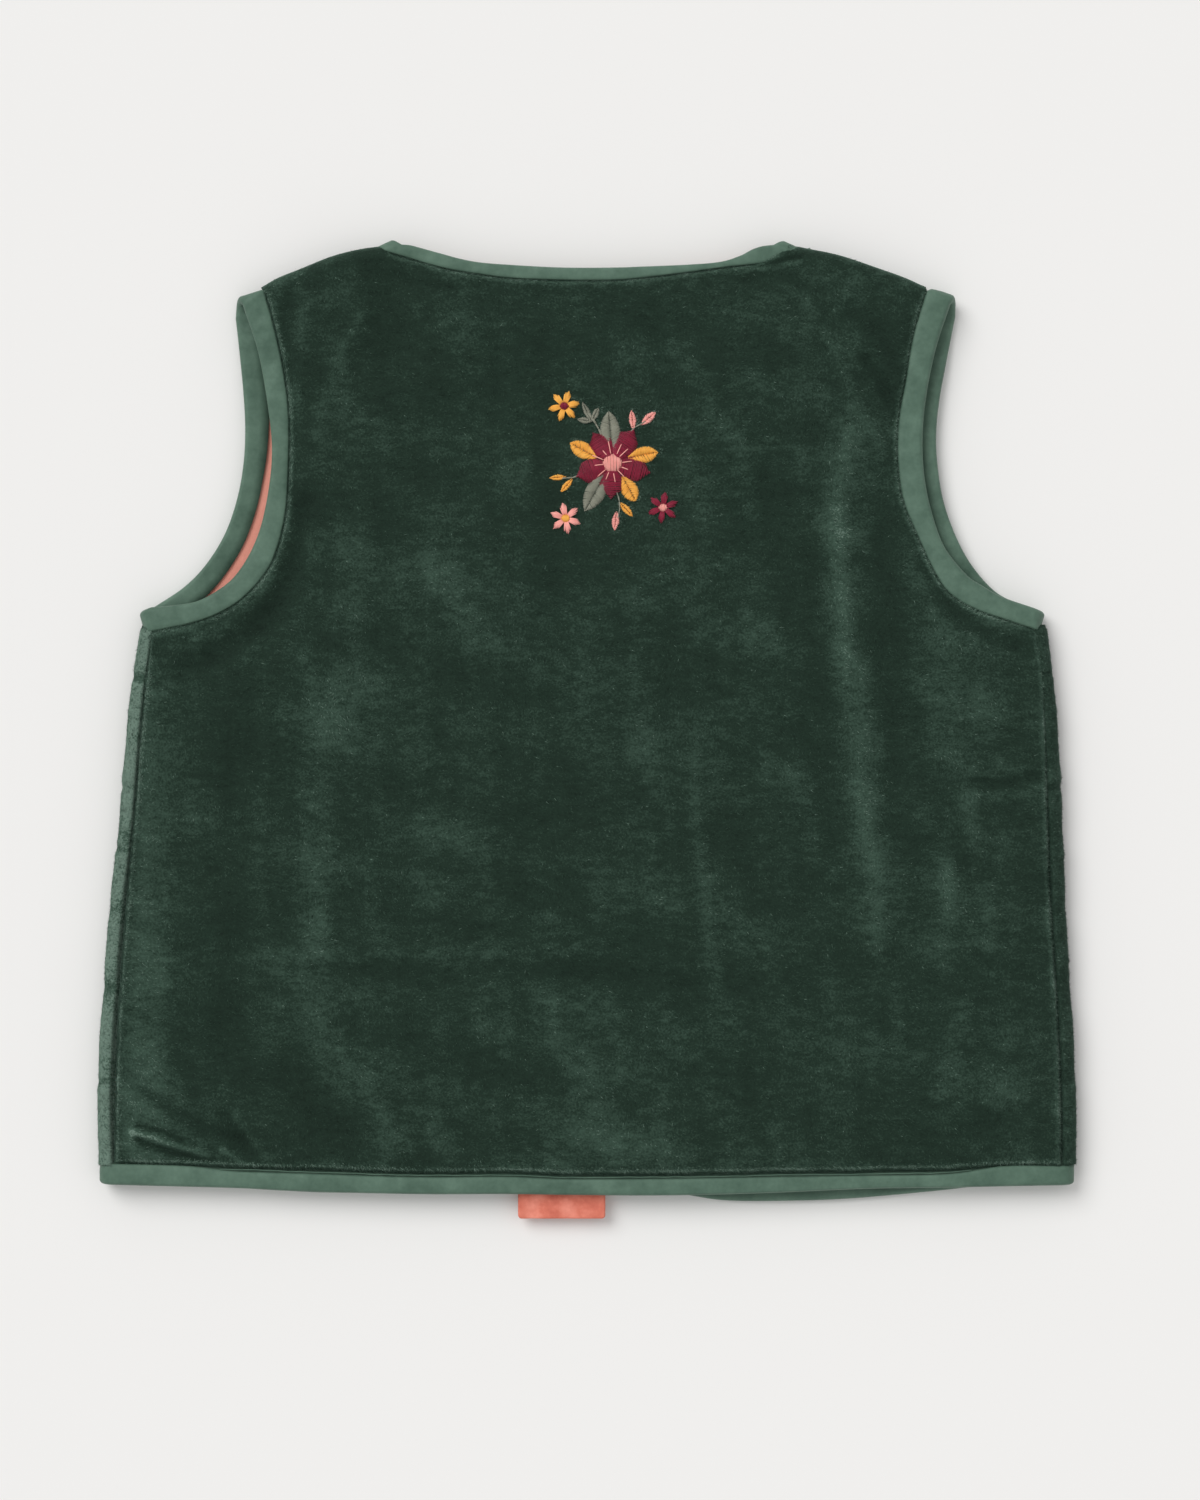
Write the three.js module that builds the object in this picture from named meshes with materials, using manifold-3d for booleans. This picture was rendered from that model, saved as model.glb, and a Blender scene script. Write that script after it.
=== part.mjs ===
// A child's sleeveless velvet waistcoat, laid flat on its front so that the back shows.
// Every wall of the garment is two layers: a padded velvet shell and a lining inside it.
// The back wall lies on the two front walls. They are sewn together along the sides and the
// shoulders, where the cloth rolls over from one to the other. The neck, both armholes, the hem
// and the two front edges are bound with a folded tape that grips the edge of both layers.
// A folded tab is caught in the hem of the back.
//
// Millimetres. X runs across the garment, Y from the hem to the neck, and Z up from the surface
// that it lies on. The origin is under the middle of the garment's box, on that surface.

import * as THREE from "three";
import { mergeVertices } from "three/addons/utils/BufferGeometryUtils.js";
import Module from "manifold-3d";

const wasm = await Module();
wasm.setup();

// ---------------------------------------------------------------- driving dimensions

const GAP = 0.3; // between layers, and between pieces at a seam
const TAPE = 0.7; // thickness of the binding tape
const TAPE_WIDTH = 9; // how far each side of the folded tape reaches in from its fold
const LINING = 0.6; // thickness of the lining
const PRESSED = 1.6; // thickness of the padded velvet where the tape presses it
const LOFT = 2.9; // how much higher the padding stands in the middle of the back
const SLACK = 1.7; // air between the back wall and the front wall at their edges
const BURIED = 2; // from the fold of the tape to the edge of the cloth inside it

// Heights in a wall, measured from its middle towards the velvet side.
const HALF_WALL = (2 * TAPE + 3 * GAP + LINING + PRESSED) / 2;
const PRESSED_TOP = HALF_WALL - TAPE - GAP;
const SHELL_BOTTOM = PRESSED_TOP - PRESSED;
const LINING_TOP = SHELL_BOTTOM - GAP;
const LINING_BOTTOM = LINING_TOP - LINING;

// Heights of the middle of each wall, and of the axis that the cloth rolls around between them.
const FRONT_Z = HALF_WALL;
const BACK_Z = 3 * HALF_WALL + SLACK;
const ROLL_Z = (FRONT_Z + BACK_Z) / 2;
const ROLL_RADIUS = (BACK_Z - FRONT_Z) / 2; // from that axis to the middle of the wall
const OUTSIDE = ROLL_RADIUS + HALF_WALL; // from that axis to the outside of the garment

// Where the folded edge of each armhole's tape lies in plan, as two cubic curves of four points:
// from the shoulder to the waist of the curve, and from there to the underarm.
const ARMHOLES = {
  left: {
    back: [
      [[-129.6, 155.8], [-125, 143], [-118.7, 124], [-118.5, 103]],
      [[-118.5, 103], [-118.3, 70], [-131, 47.3], [-162.6, 47]],
    ],
    front: [
      [[-132.6, 154.2], [-130.6, 142], [-128.9, 128], [-128.7, 112]],
      [[-128.7, 112], [-128.5, 84], [-142, 57], [-162.6, 47.4]],
    ],
  },
  right: {
    back: [
      [[136.4, 156.6], [131.6, 142], [126.3, 124], [126.1, 106]],
      [[126.1, 106], [125.9, 77], [138, 52], [167.6, 45.6]],
    ],
    front: [
      [[138.6, 155.4], [135.8, 142], [131.6, 128], [131.4, 109]],
      [[131.4, 109], [131.2, 82], [144, 55], [167.6, 46]],
    ],
  },
};

// The same for the neck: from the middle outwards on the back, and from the shoulder to the front edge.
const NECKS = {
  left: {
    back: [[[1, 175.3], [-40, 175.3], [-66.5, 172.6], [-69, 178.5]]],
    front: [[[-71, 178.5], [-74, 168], [-60, 116], [-1.5, 116]]],
  },
  right: {
    back: [[[1, 175.3], [40, 175.3], [68.6, 172.2], [71.2, 178.1]]],
    front: [[[73.2, 178.1], [76, 168], [60, 116], [1.5, 116]]],
  },
};

// The same for the hem, from the side inwards. The right front hangs a little below the back.
const HEMS = {
  left: {
    back: [[[-178.2, -169.4], [-119, -171.9], [-60, -173.3], [0, -173.3]]],
    front: [[[-178.2, -169.4], [-119, -172.4], [-60, -173.2], [-1.5, -172.9]]],
  },
  right: {
    back: [[[178.6, -169.4], [119, -171.9], [60, -173.3], [0, -173.3]]],
    front: [[[178.6, -169.4], [104, -178.2], [60, -178.2], [1.5, -173.2]]],
  },
};
const FRONT_EDGE = 1.5; // the two fronts end this far on either side of the middle

// The garment's outermost line along each side, from the underarm to the hem, and along each
// shoulder, from the neck outwards.
const SIDES = {
  left: [[-167.8, 52], [-175, -25], [-187.4, -100], [-183.5, -172]],
  right: [[172.8, 52], [178.4, -10], [182.4, -100], [184, -172]],
};
const SHOULDERS = {
  left: [[-60, 184], [-92, 184], [-112, 173.5], [-140, 157]],
  right: [[62, 183.6], [94, 183.6], [116, 174], [147, 158.6]],
};

// How far the padding of the back stands above its edge, as a share of the loft, by the distance
// from the nearest edge of the velvet.
const PADDING = [
  { distance: 0, share: 0 },
  { distance: 4, share: 0.24 },
  { distance: 12, share: 0.56 },
  { distance: 28, share: 0.84 },
  { distance: 60, share: 1 },
];
// The lines across the back where that height is set, and the distances in from each side on them.
const PADDING_ROWS = [
  -180, -164, -159, -151, -134, -100, -60, -20, 12, 30, 38, 46, 58, 78, 104, 130, 150, 162, 170, 186,
];
const PADDING_COLUMNS = [-26, 0, 4, 12, 28, 60];

const TAB = { left: -26.2, right: 7.4, low: -182.6, high: -165, layer: 0.45, corner: 1.5 };

const CURVE_STEPS = 6; // straight stretches to each curve
const TURN_STEPS = 5; // straight stretches to each half turn of the cloth

const COLOURS = { velvet: 0x2f4a3c, tape: 0x66867a, lining: 0xf0907c, tab: 0xee8573 };

// ---------------------------------------------------------------- solids

// The solid inside a closed indexed geometry.
function solid(geometry) {
  for (const name of ["normal", "uv"]) geometry.deleteAttribute(name);
  const merged = mergeVertices(geometry, 1e-4);
  const mesh = new wasm.Mesh({
    numProp: 3,
    vertProperties: merged.getAttribute("position").array,
    triVerts: new Uint32Array(merged.index.array),
  });
  return new wasm.Manifold(mesh);
}

// A solid through rings of points that run anticlockwise, seen from the last ring. An open one is
// capped at both ends, and `section` is its rings' outline in their own plane.
function loft(rings, section, closed = false) {
  const size = rings[0].length;
  const index = [];
  for (let i = 0; i < (closed ? rings.length : rings.length - 1); i++) {
    const here = i * size;
    const next = ((i + 1) % rings.length) * size;
    for (let j = 0; j < size; j++) {
      const k = (j + 1) % size;
      index.push(here + j, here + k, next + k, here + j, next + k, next + j);
    }
  }
  if (!closed) {
    const last = (rings.length - 1) * size;
    for (const [a, b, c] of wasm.triangulate([section])) {
      index.push(a, c, b, last + a, last + b, last + c);
    }
  }
  return solid(new THREE.BufferGeometry().setFromPoints(rings.flat()).setIndex(index));
}

// A section carried along frames. Each frame has a point, a direction `into` the cloth, and one
// `out` of its velvet side. The section's points are given along those two.
function sweep(frames, section, closed = false) {
  const [first, second] = frames;
  const onward = second.point.clone().sub(first.point);
  const handed = new THREE.Vector3().crossVectors(first.into, first.out).dot(onward) > 0;
  const clockwise = THREE.ShapeUtils.isClockWise(section.map(([d, h]) => new THREE.Vector2(d, h)));
  const outline = clockwise ? [...section].reverse() : section;
  const rings = frames.map(({ point, into, out }) =>
    outline.map(([d, h]) => point.clone().addScaledVector(into, d).addScaledVector(out, h)),
  );
  return loft(handed ? rings : rings.reverse(), outline, closed);
}

// A flat plate with that outline in plan, between two heights.
function plate(outline, bottom, top) {
  const settings = { depth: top - bottom, bevelEnabled: false, steps: 1 };
  const geometry = new THREE.ExtrudeGeometry(new THREE.Shape(outline), settings);
  return solid(geometry.translate(0, 0, bottom));
}

const union = (solids) => solids.reduce((a, b) => a.add(b));
const largest = (made) =>
  made.simplify(0.1).decompose().reduce((a, b) => (b.volume() > a.volume() ? b : a));
const rectangle = (x0, x1, y0, y1) =>
  [[x0, y0], [x1, y0], [x1, y1], [x0, y1]].map(([x, y]) => new THREE.Vector2(x, y));

// ---------------------------------------------------------------- lines

const curveOf = (p) => new THREE.CubicBezierCurve(...p.map(([x, y]) => new THREE.Vector2(x, y)));

// Frames along plan curves at one height. `turn` is 1 if the cloth is to the left of the way that
// the curves run, and -1 if it is to the right. `up` is 1 where the velvet faces up.
function run(curves, z, turn, up) {
  const frames = [];
  curves.map(curveOf).forEach((curve, i) => {
    for (let s = i === 0 ? 0 : 1; s <= CURVE_STEPS; s++) {
      const at = curve.getPoint(s / CURVE_STEPS);
      const along = curve.getTangent(s / CURVE_STEPS);
      frames.push({
        point: new THREE.Vector3(at.x, at.y, z),
        along: new THREE.Vector3(along.x, along.y, 0),
        into: new THREE.Vector3(-along.y * turn, along.x * turn, 0),
        out: new THREE.Vector3(0, 0, up),
      });
    }
  });
  return frames;
}

// The same line run the other way.
const reversed = (frames) => frames.map((f) => ({ ...f, along: f.along.clone().negate() })).reverse();

// Frames that carry an edge round from one wall to the other, from the end of one run to the
// start of the next.
function turnOver(from, to) {
  const way = from.along.clone().sub(to.along).normalize();
  const up = Math.sign(from.point.z - to.point.z);
  const frames = [];
  for (let s = 1; s < TURN_STEPS; s++) {
    const share = s / TURN_STEPS;
    const angle = Math.PI * share;
    const out = way.clone().multiplyScalar(Math.sin(angle));
    out.z = up * Math.cos(angle);
    const point = from.point.clone().lerp(to.point, share);
    point.z = ROLL_Z;
    point.addScaledVector(out, ROLL_RADIUS);
    const into = from.into.clone().lerp(to.into, share);
    into.addScaledVector(out, -into.dot(out)).normalize();
    frames.push({ point, along: way, into, out });
  }
  return frames;
}

// A bound edge of one side of the garment: over the back, round the seam, and along the front.
function boundEdge(curves, sign, { backFromSeam, backTurn, frontTurn }) {
  const laid = run(curves.back, BACK_Z, backTurn * sign, 1);
  const back = backFromSeam ? reversed(laid) : laid;
  const front = run(curves.front, FRONT_Z, frontTurn * sign, -1);
  return { back, over: turnOver(back.at(-1), front[0]), front };
}

const SIGNS = { left: -1, right: 1 };
const EDGES = {};
for (const [side, sign] of Object.entries(SIGNS)) {
  const fromSeam = { backFromSeam: true, backTurn: -1, frontTurn: -1 };
  const fromMiddle = { backFromSeam: false, backTurn: -1, frontTurn: 1 };
  EDGES[side] = {
    neck: boundEdge(NECKS[side], sign, fromMiddle),
    armhole: boundEdge(ARMHOLES[side], sign, fromSeam),
    hem: boundEdge(HEMS[side], sign, fromSeam),
  };
  const { armhole, neck, hem } = EDGES[side];
  armhole.under = turnOver(armhole.front.at(-1), armhole.back[0]);

  const x = sign * FRONT_EDGE;
  const low = hem.front.at(-1).point.y + TAPE_WIDTH + GAP;
  const high = neck.front.at(-1).point.y - TAPE_WIDTH - GAP;
  const straight = [0, 1, 2, 3].map((i) => [x, low + ((high - low) * i) / 3]);
  const ends = run([straight], FRONT_Z, -sign, -1);
  EDGES[side].opening = [ends[0], ends.at(-1)];
}

// The line of each tape. The neck's and the hem's run across the back from one front to the other.
const across = ({ left, right }) => [
  ...[...left.back, ...left.over, ...left.front].reverse(),
  ...right.back.slice(1),
  ...right.over,
  ...right.front,
];
const around = ({ back, over, front, under }) => [...back, ...over, ...front, ...under];
const pair = (name) => ({ left: EDGES.left[name], right: EDGES.right[name] });
const TAPES = {
  neck_binding: { frames: across(pair("neck")), closed: false },
  armhole_binding_left: { frames: around(EDGES.left.armhole), closed: true },
  armhole_binding_right: { frames: around(EDGES.right.armhole), closed: true },
  hem_binding: { frames: across(pair("hem")), closed: false },
  front_binding_left: { frames: EDGES.left.opening, closed: false },
  front_binding_right: { frames: EDGES.right.opening, closed: false },
};

// Frames along the axis that the cloth rolls around beside an outermost line. `outward` is 1 if
// the outside is to the left of the way that the line runs.
function rollAxis(outermost, outward) {
  const curve = curveOf(outermost);
  return Array.from({ length: CURVE_STEPS + 1 }, (_, s) => {
    const at = curve.getPoint(s / CURVE_STEPS);
    const along = curve.getTangent(s / CURVE_STEPS);
    const into = new THREE.Vector3(-along.y * outward, along.x * outward, 0);
    const point = new THREE.Vector3(at.x, at.y, ROLL_Z).addScaledVector(into, -OUTSIDE);
    return { point, into, out: new THREE.Vector3(0, 0, 1) };
  });
}
const SIDE_AXES = { left: rollAxis(SIDES.left, -1), right: rollAxis(SIDES.right, 1) };
const SHOULDER_AXES = { left: rollAxis(SHOULDERS.left, -1), right: rollAxis(SHOULDERS.right, 1) };

const plan = (frames, inset = 0) =>
  frames.map(({ point, into }) => new THREE.Vector2(point.x + into.x * inset, point.y + into.y * inset));

// The stretch of each side's and each shoulder's axis that lies clear of the tapes.
const CLEAR_SIDE = { from: -158, to: 34 };
const CLEAR_SHOULDER = { from: 82, to: 122 };
const within = (value, { from, to }) => value > from && value < to;
const clear = ({ point: { x, y } }) =>
  within(y, CLEAR_SIDE) || (y > 150 && within(Math.abs(x), CLEAR_SHOULDER));
const seamLine = (side) => plan(SIDE_AXES[side].filter(clear));
const foldLine = (side) => plan(SHOULDER_AXES[side].filter(clear));

// The back wall's outline, going round from the middle of the hem, `inset` from the tapes' folds.
function backOutline(inset) {
  const half = (side) => [
    ...plan(EDGES[side].hem.back, inset),
    ...seamLine(side).reverse(),
    ...plan(EDGES[side].armhole.back, inset),
    ...foldLine(side).reverse(),
    ...plan(EDGES[side].neck.back, inset).reverse(),
  ];
  return [...half("right"), ...half("left").reverse().slice(1, -1)];
}

// A front wall's outline.
function frontOutline(side, inset) {
  return [
    ...plan(EDGES[side].neck.front, inset).reverse(),
    ...foldLine(side),
    ...plan(EDGES[side].armhole.front, inset),
    ...seamLine(side),
    ...plan(EDGES[side].hem.front, inset),
  ];
}

// ---------------------------------------------------------------- layers

// A half ring about a roll's axis, as a section, between two angles. 0 is outwards and 90 is up.
function ring(inside, outside, from, to) {
  const steps = Math.round((Math.abs(to - from) / 180) * TURN_STEPS);
  const arc = (radius, a, b) =>
    Array.from({ length: steps + 1 }, (_, i) => {
      const angle = THREE.MathUtils.degToRad(a + ((b - a) * i) / steps);
      return [radius * Math.cos(angle), radius * Math.sin(angle)];
    });
  return [...arc(outside, from, to), ...arc(inside, to, from)];
}

// The height of the padding above the edge of the velvet, at a point of the back.
function padding(x, y, velvet) {
  const at = new THREE.Vector3(x, y, 0);
  const nearest = new THREE.Vector3();
  let distance = Infinity;
  velvet.forEach((p, i) => {
    const q = velvet[(i + 1) % velvet.length];
    const side = new THREE.Line3(new THREE.Vector3(p.x, p.y, 0), new THREE.Vector3(q.x, q.y, 0));
    side.closestPointToPoint(at, true, nearest);
    distance = Math.min(distance, nearest.distanceTo(at));
  });
  const crossings = rowCrossings(y, velvet);
  const inside = crossings.filter((c) => c > x).length % 2 === 1;
  if (!inside) return 0;
  const above = PADDING.findIndex((row) => row.distance >= distance);
  if (above <= 0) return above === 0 ? 0 : LOFT;
  const [a, b] = [PADDING[above - 1], PADDING[above]];
  return LOFT * THREE.MathUtils.mapLinear(distance, a.distance, b.distance, a.share, b.share);
}

// Where a line across at height y meets an outline.
function rowCrossings(y, outline) {
  return outline.flatMap((p, i) => {
    const q = outline[(i + 1) % outline.length];
    return p.y > y === q.y > y ? [] : [p.x + ((q.x - p.x) * (y - p.y)) / (q.y - p.y)];
  });
}

// A slab over the whole back, flat below and padded above.
function paddedSlab() {
  const velvet = backOutline(TAPE_WIDTH + GAP);
  const [low, high] = [PADDING_ROWS[2], PADDING_ROWS.at(-2)]; // the rows nearest the hem and the neck
  const rings = PADDING_ROWS.map((y) => {
    const met = rowCrossings(THREE.MathUtils.clamp(y, low, high), velvet);
    const [left, right] = [Math.min(...met), Math.max(...met)];
    const columns = [
      ...PADDING_COLUMNS.map((inset) => right - inset),
      (left + right) / 2,
      ...PADDING_COLUMNS.map((inset) => left + inset).reverse(),
    ];
    const top = columns.map((x) => new THREE.Vector3(x, y, BACK_Z + HALF_WALL + padding(x, y, velvet)));
    const under = [columns.at(-1), columns[0]].map((x) => new THREE.Vector3(x, y, BACK_Z + SHELL_BOTTOM));
    return [...under, ...top];
  });
  const section = rings[0].map((p) => [p.x, p.z]);
  return loft(rings.reverse(), section);
}

// The folded tape: in along the velvet side, and back along the lining side.
const INNER = HALF_WALL - TAPE;
const TAPE_SECTION = [
  [TAPE_WIDTH, HALF_WALL], [1.5, HALF_WALL], [0.35, HALF_WALL * 0.6], [0, 0],
  [0.35, -HALF_WALL * 0.6], [1.5, -HALF_WALL], [TAPE_WIDTH, -HALF_WALL], [TAPE_WIDTH, -INNER],
  [1.7, -INNER], [TAPE, -INNER * 0.4], [TAPE, INNER * 0.4], [1.7, INNER], [TAPE_WIDTH, INNER],
];

// What a tape leaves no room for: anything at its fold, and anything above the pressed cloth.
const UNDER = -INNER + 0.1;
const NO_ROOM = [
  [-5, -HALF_WALL - GAP], [TAPE_WIDTH + GAP, -HALF_WALL - GAP], [TAPE_WIDTH + GAP, UNDER],
  [BURIED, UNDER], [BURIED, PRESSED_TOP], [TAPE_WIDTH + GAP, PRESSED_TOP],
  [TAPE_WIDTH + GAP, HALF_WALL + LOFT], [-5, HALF_WALL + LOFT],
];
const opening = plate(rectangle(-FRONT_EDGE - BURIED, FRONT_EDGE + BURIED, -200, 200), -1, ROLL_Z);
const taken = union([
  opening,
  ...Object.values(TAPES).map(({ frames, closed }) => sweep(frames, NO_ROOM, closed)),
]);

// Where the back's pieces lie, as opposed to the fronts': above the roll's axis and between the
// side seams, and a little round the shoulder folds. `margin` draws it in.
function backRegion(margin) {
  const drop = 2.2; // how far round each shoulder fold the back reaches
  const seams = ["right", "left"].map((side) =>
    plan(SIDE_AXES[side], -margin).filter((p) => p.y < 44));
  const between = [
    new THREE.Vector2(seams[0].at(-1).x, -200), ...seams[0].reverse(), new THREE.Vector2(200, 44.5),
    new THREE.Vector2(200, 200), new THREE.Vector2(-200, 200), new THREE.Vector2(-200, 44.5),
    ...seams[1], new THREE.Vector2(seams[1].at(-1).x, -200),
  ];
  const beyondFold = ["right", "left"].map((side) => {
    const fold = plan(SHOULDER_AXES[side], 1);
    const outline = [...fold, new THREE.Vector2(fold.at(-1).x, 200), new THREE.Vector2(fold[0].x, 200)];
    return plate(outline, ROLL_Z - drop + margin, 2 * ROLL_Z);
  });
  return union([plate(between, ROLL_Z + margin, 4 * ROLL_Z), ...beyondFold]);
}

// One layer of the two fronts and of the rolls beside them, between two heights in the wall. The
// rolls go round to the front walls from the seam angle, which is 90 at the top.
function frontLayer(bottom, top, { inset, seamAngle, stretch }) {
  const fronts = ["left", "right"].map((side) =>
    plate(frontOutline(side, inset), FRONT_Z - top, FRONT_Z - bottom));
  const section = ring(ROLL_RADIUS + bottom, ROLL_RADIUS + top, seamAngle, -95);
  const axes = [...Object.values(SIDE_AXES), ...Object.values(SHOULDER_AXES)];
  return union([...fronts, ...axes.map((axis) => sweep(axis.filter(stretch), section))]);
}

const half = (sign) => {
  const [from, to] = sign < 0 ? [-200, 0] : [0, 200];
  return plate(rectangle(from, to, -200, 200), -1, 4 * ROLL_Z);
};
const halves = (fronts) => ({
  left: largest(fronts.intersect(half(-1))),
  right: largest(fronts.intersect(half(1))),
});

// The shell, cut at the seams into the back and the fronts.
const shellBack = paddedSlab().intersect(plate(backOutline(0), 0, 4 * ROLL_Z));
const whole = { inset: 0, seamAngle: 95, stretch: () => true };
const shell = shellBack.add(frontLayer(SHELL_BOTTOM, HALF_WALL, whole)).subtract(taken);
const backPanel = largest(shell.intersect(backRegion(GAP / 2)));
const frontPanels = halves(shell.subtract(backRegion(-GAP / 2)));

// The lining's back is a flat piece that ends at the folds. Its fronts take the rolls between tapes.
const edgeGap = BURIED + GAP;
const backLining = largest(
  plate(backOutline(edgeGap), BACK_Z + LINING_BOTTOM, BACK_Z + LINING_TOP).subtract(taken),
);
const between = { inset: edgeGap, seamAngle: 82, stretch: clear };
const frontLinings = halves(frontLayer(LINING_BOTTOM, LINING_TOP, between).subtract(opening));

// ---------------------------------------------------------------- tab

// The tab: a strip folded in two, its fold at the low end, between the back and the fronts.
function foldedTab() {
  const { left, right, low, high, layer: cloth, corner } = TAB;
  const bottom = 2 * HALF_WALL + GAP;
  const top = bottom + SLACK - 2 * GAP;
  const outline = [
    [left, high], [left, low + corner], [left + corner, low],
    [right - corner, low], [right, low + corner], [right, high],
  ].map(([x, y]) => new THREE.Vector2(x, y));
  const between = rectangle(left - 1, right + 1, low + cloth, high + 1);
  return plate(outline, bottom, top).subtract(plate(between, bottom + cloth, top - cloth));
}

// ---------------------------------------------------------------- the waistcoat

const waistcoat = new THREE.Group();
waistcoat.name = "embroidered_waistcoat";

function add(name, made, colour) {
  const mesh = made.getMesh();
  const points = Array.from({ length: mesh.numVert }, (_, i) => {
    const [x, y, z] = mesh.vertProperties.slice(i * mesh.numProp, i * mesh.numProp + 3);
    return new THREE.Vector3(x, y, z);
  });
  const geometry = new THREE.BufferGeometry().setFromPoints(points).setIndex([...mesh.triVerts]);
  geometry.computeVertexNormals();
  const material = new THREE.MeshStandardMaterial({ color: colour, roughness: 0.9 });
  const piece = new THREE.Mesh(geometry, material);
  piece.name = name;
  waistcoat.add(piece);
}

add("back_panel", backPanel, COLOURS.velvet);
add("front_left_panel", frontPanels.left, COLOURS.velvet);
add("front_right_panel", frontPanels.right, COLOURS.velvet);
add("back_lining", backLining, COLOURS.lining);
add("front_left_lining", frontLinings.left, COLOURS.lining);
add("front_right_lining", frontLinings.right, COLOURS.lining);
for (const [name, { frames, closed }] of Object.entries(TAPES)) {
  add(name, sweep(frames, TAPE_SECTION, closed), COLOURS.tape);
}
add("hem_tab", foldedTab(), COLOURS.tab);

export default waistcoat;
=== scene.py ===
"""A child's velvet waistcoat, laid flat on its front with its back up, bound, lined and embroidered.

Plan positions are millimetres: X across, Y from the hem to the neck. Meshes are made in metres.
"""

import math

import bpy
import numpy as np
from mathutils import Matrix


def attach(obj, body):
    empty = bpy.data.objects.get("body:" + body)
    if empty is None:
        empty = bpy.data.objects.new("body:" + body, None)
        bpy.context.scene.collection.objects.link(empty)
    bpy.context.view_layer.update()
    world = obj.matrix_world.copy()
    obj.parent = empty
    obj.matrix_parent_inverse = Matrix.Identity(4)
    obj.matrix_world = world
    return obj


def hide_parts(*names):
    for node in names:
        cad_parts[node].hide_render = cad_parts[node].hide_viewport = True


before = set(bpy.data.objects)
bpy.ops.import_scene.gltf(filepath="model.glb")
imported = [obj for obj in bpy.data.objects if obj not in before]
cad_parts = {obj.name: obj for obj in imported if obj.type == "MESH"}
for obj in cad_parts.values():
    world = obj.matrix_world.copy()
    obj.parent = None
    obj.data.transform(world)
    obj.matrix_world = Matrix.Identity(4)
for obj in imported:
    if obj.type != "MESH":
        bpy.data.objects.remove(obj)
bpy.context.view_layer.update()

MM = 0.001
RNG = np.random.default_rng(7)

# ---------------------------------------------------------------- sizes in millimetres

WALL = 4.5  # a bound wall: tape, cloth, tape
SLACK = 1.7  # air between the back wall and the front wall
HALF = WALL / 2
MARGIN = 0.35  # from the rolled cloth's inner side to the roll's own radius
FRONT_Z = HALF
BACK_Z = 3 * HALF + SLACK
ROLL_Z = (FRONT_Z + BACK_Z) / 2
ROLL_R = (BACK_Z - FRONT_Z) / 2
TAPE = 0.7
TAPE_WIDTH = 9.5
PAD = 2.9  # how far the padding stands above the edges, in the middle of the back
OUTER_R = ROLL_R + HALF  # the outside of the cloth where it rolls over from back to front
FRONT_CURL = 1.8  # how far the front's armhole edge curls up
FRONT_ARM_WIDTHS = [9.4, 8.2, 8.2, 9.4, 9.5]  # the front armhole tape's width, from underarm to shoulder
INSET = 4.5  # how far the fronts' cloth stops short of the tapes' folds

# ---------------------------------------------------------------- outlines

# The back's edges, as points that a smooth curve runs through. `seam` is where the velvet meets the
# tape, and `fold` is the tape's outer edge.
ARMHOLE_SEAM = {
    "left": [(-164, 38), (-148.2, 41.4), (-137.5, 45.3), (-128.9, 50.9), (-120.3, 60.4), (-115.9, 70.3),
             (-113, 83.2), (-112, 98.3), (-111.8, 117.6), (-113.3, 132.8), (-117, 151), (-121.2, 166.2)],
    "right": [(168.5, 38.8), (156.7, 42.7), (145.5, 46.6), (136.4, 52.2), (130.8, 59.9), (124.4, 73.3),
              (118.6, 87.6), (116.6, 102.6), (117, 117.6), (119.6, 132.6), (122.6, 150), (127.4, 165.8)],
}
ARMHOLE_FOLD = {
    "left": [(-163.5, 47.4), (-155, 48.2), (-145.5, 50), (-135.8, 55.7), (-130.3, 61.5), (-125.6, 69.5),
             (-122.2, 78.6), (-119.6, 91), (-118.3, 104), (-119.1, 117.6), (-123.2, 142),
             (-129.2, 160.8)],
    "right": [(167.6, 47.2), (155.8, 51.3), (148.6, 55.4), (142.7, 59.4), (135, 68.8), (131, 78),
              (127.6, 91), (126.1, 104), (126.4, 118), (128.5, 133), (131.6, 146.5), (136.5, 161.2)],
}
ARMHOLE_FRONT = {
    "left": [(-163.5, 47.4), (-152, 55), (-143.6, 63.5), (-136.4, 75), (-131.8, 88), (-129.4, 101),
             (-128.7, 114), (-129.4, 128), (-131, 144), (-132.4, 156.4)],
    "right": [(167.6, 47.2), (155, 52.6), (145.5, 62.5), (139, 74), (134.2, 87.5), (132, 101),
              (131.5, 113), (132.8, 126), (135.4, 140), (138.8, 157)],
}
NECK_SEAM = [(-76, 181), (-71.4, 179.6), (-65, 177.7), (-59.3, 176), (-50.7, 173.9), (-40, 172.2),
             (-28.7, 170.8), (-9.4, 170), (10, 170), (22, 171), (38.6, 173), (52.9, 175), (63.7, 176),
             (71, 177.1), (78, 178.6)]
# Where the back's velvet ends at the neck: it folds up over the tape at the right corner.
NECK_VELVET = NECK_SEAM[:-3] + [(58.5, 175.6), (64.2, 176.8), (68.6, 179), (72.6, 181.4), (76, 183)]
NECK_FOLD = [(-69.5, 183.5), (-66, 183.2), (-62.6, 182.3), (-55, 180.2), (-47.6, 178.2), (-40, 176.8),
             (-28.7, 175.9), (-9.4, 174.9), (10, 174.9), (22, 175.3), (38.6, 176), (50, 177),
             (57.4, 179.3), (62, 181.7), (65.8, 182.9), (70, 183.4)]
HEM_SEAM = [(-178, -161.2), (-160, -161.6), (-130, -162.6), (-107, -163.2), (-64, -164.6), (-31, -164.4),
            (-8, -165.3), (28, -165.2), (65, -164.6), (105, -164), (132, -163.6), (156, -161.9),
            (178, -162)]
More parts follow.
